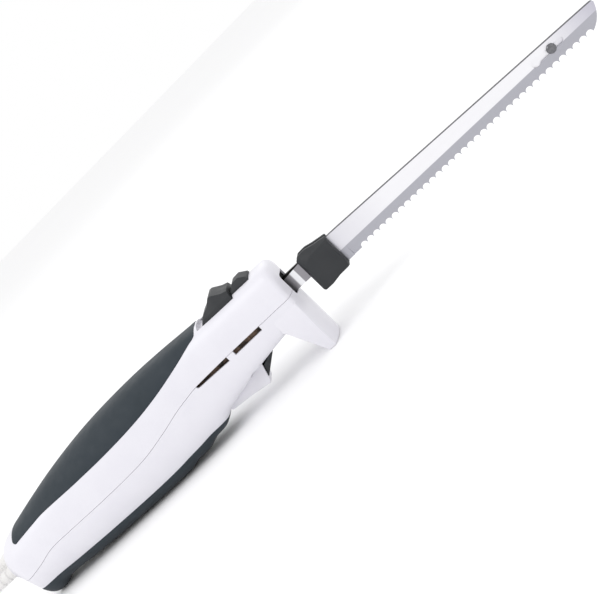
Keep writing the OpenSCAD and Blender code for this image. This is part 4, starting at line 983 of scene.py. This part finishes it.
def pad_grid(x, edge, over, lean=0.0):
    """Soft pad: the skin 0.3 mm out between its two edge lines, with each edge rolled down
    below the skin along a quarter round. over is 1 over the top, or -1 under the floor. lean
    moves the middle's rear end forwards by that many mm, and the sides' not at all."""
    cols, roll = 61, 0.9
    t = np.linspace(0, 1, cols)
    sink = np.array([-0.9, -0.3, 0.05, 0.22, 0.3])
    out = np.concatenate([sink, np.full(cols, 0.3), sink[::-1]])[None, :]
    width = np.maximum(half_width(x) * 2.2, 10)[:, None]
    lead = np.array([0, 0.05, 0.25, 0.55, 0.9])[None, :] * roll / width
    share = np.concatenate([lead, (0.9 * roll / width) + t[None, :] * (1 - 1.8 * roll / width),
                            1 - lead[:, ::-1]], 1)
    middle = 1 - np.abs(1 - 2 * share)
    place = ((x - x[0]) / (x[-1] - x[0]))[:, None]
    xs = x[:, None] + lean * np.minimum(middle * 1.4, 1) * (1 - place) ** 3
    end_len, end_drop = 0.6, 1.2
    drop = np.clip(1 - (x - x[0]) / end_len, 0, 1)[:, None] * end_drop
    a0 = angle_at(xs, np.interp(xs, x, edge))
    a1 = math.pi - a0 if over > 0 else -math.pi - a0
    return skin(xs, a0 + (a1 - a0) * share, out - drop)


x_up = np.unique(np.concatenate([19.2 + np.array([0, 0.15, 0.35, 0.6, 0.9, 1.3, 1.8, 2.4, 3, 3.8]),
                                 np.arange(24.2, 176, 1.6), np.linspace(176, 190.4, 30)]))
rear_corner = np.interp(x_up, [19.2, 19.6, 20.3, 21.2, 22.2, 24, 37],
                        [45.6, 44.0, 42.9, 42.3, 42.1, 42.4, 44.1])
side_up = np.where(x_up < 37, rear_corner, curve(PAD_UP, x_up))
upper_grid = pad_grid(x_up, side_up, 1, lean=1.0)

x_low = np.unique(np.concatenate([np.linspace(7.9, 12, 14), np.arange(12, 160, 1.2),
                                  np.linspace(160, 167.6, 16)]))
lower_grid = pad_grid(x_low, curve(PAD_DOWN, x_low), -1)
for grid, name in ((upper_grid, "upper"), (lower_grid, "lower")):
    pad = piece(name + "_pad", grid, sheet_faces(*grid.shape[:2], flip=name == "lower"), smooth=60)
    dress(pad, slate_rubber)
    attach(pad, "housing")
    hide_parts(name + "_grip")


# ---------------------------------------------------------------- floor and light

def backdrop():
    """Floor: one flat sheet, wide enough to fill every view."""
    far, level = 4000, -0.05
    pts = [[-far, -far, level], [far, -far, level], [far, far, level], [-far, far, level]]
    floor = piece("floor", pts, [[0, 1, 2, 3]])
    mat, tree, shader = material("pale_floor", (0.94, 0.94, 0.945), 0.9, specular=0.1)
    place = object_place(tree)
    two_tone(tree, noise(tree, place, 3.0, 2.0), (0.94, 0.94, 0.945), (0.93, 0.93, 0.935),
             shader.inputs["Base Color"])
    dress(floor, mat)


backdrop()
area_light("key", (-0.9, -0.9, 1.5), 1.2, 9)
area_light("fill", (1.2, -1.0, 0.8), 1.4, 1.5)
area_light("rim", (0.2, 1.4, 1.2), 1.4, 4)
world = bpy.data.worlds.new("studio")
world.use_nodes = True
world.node_tree.nodes["Background"].inputs["Color"].default_value = (1.0, 1.0, 1.0, 1)
world.node_tree.nodes["Background"].inputs["Strength"].default_value = 1.0
bpy.context.scene.world = world
bpy.context.scene.view_settings.view_transform = "Standard"
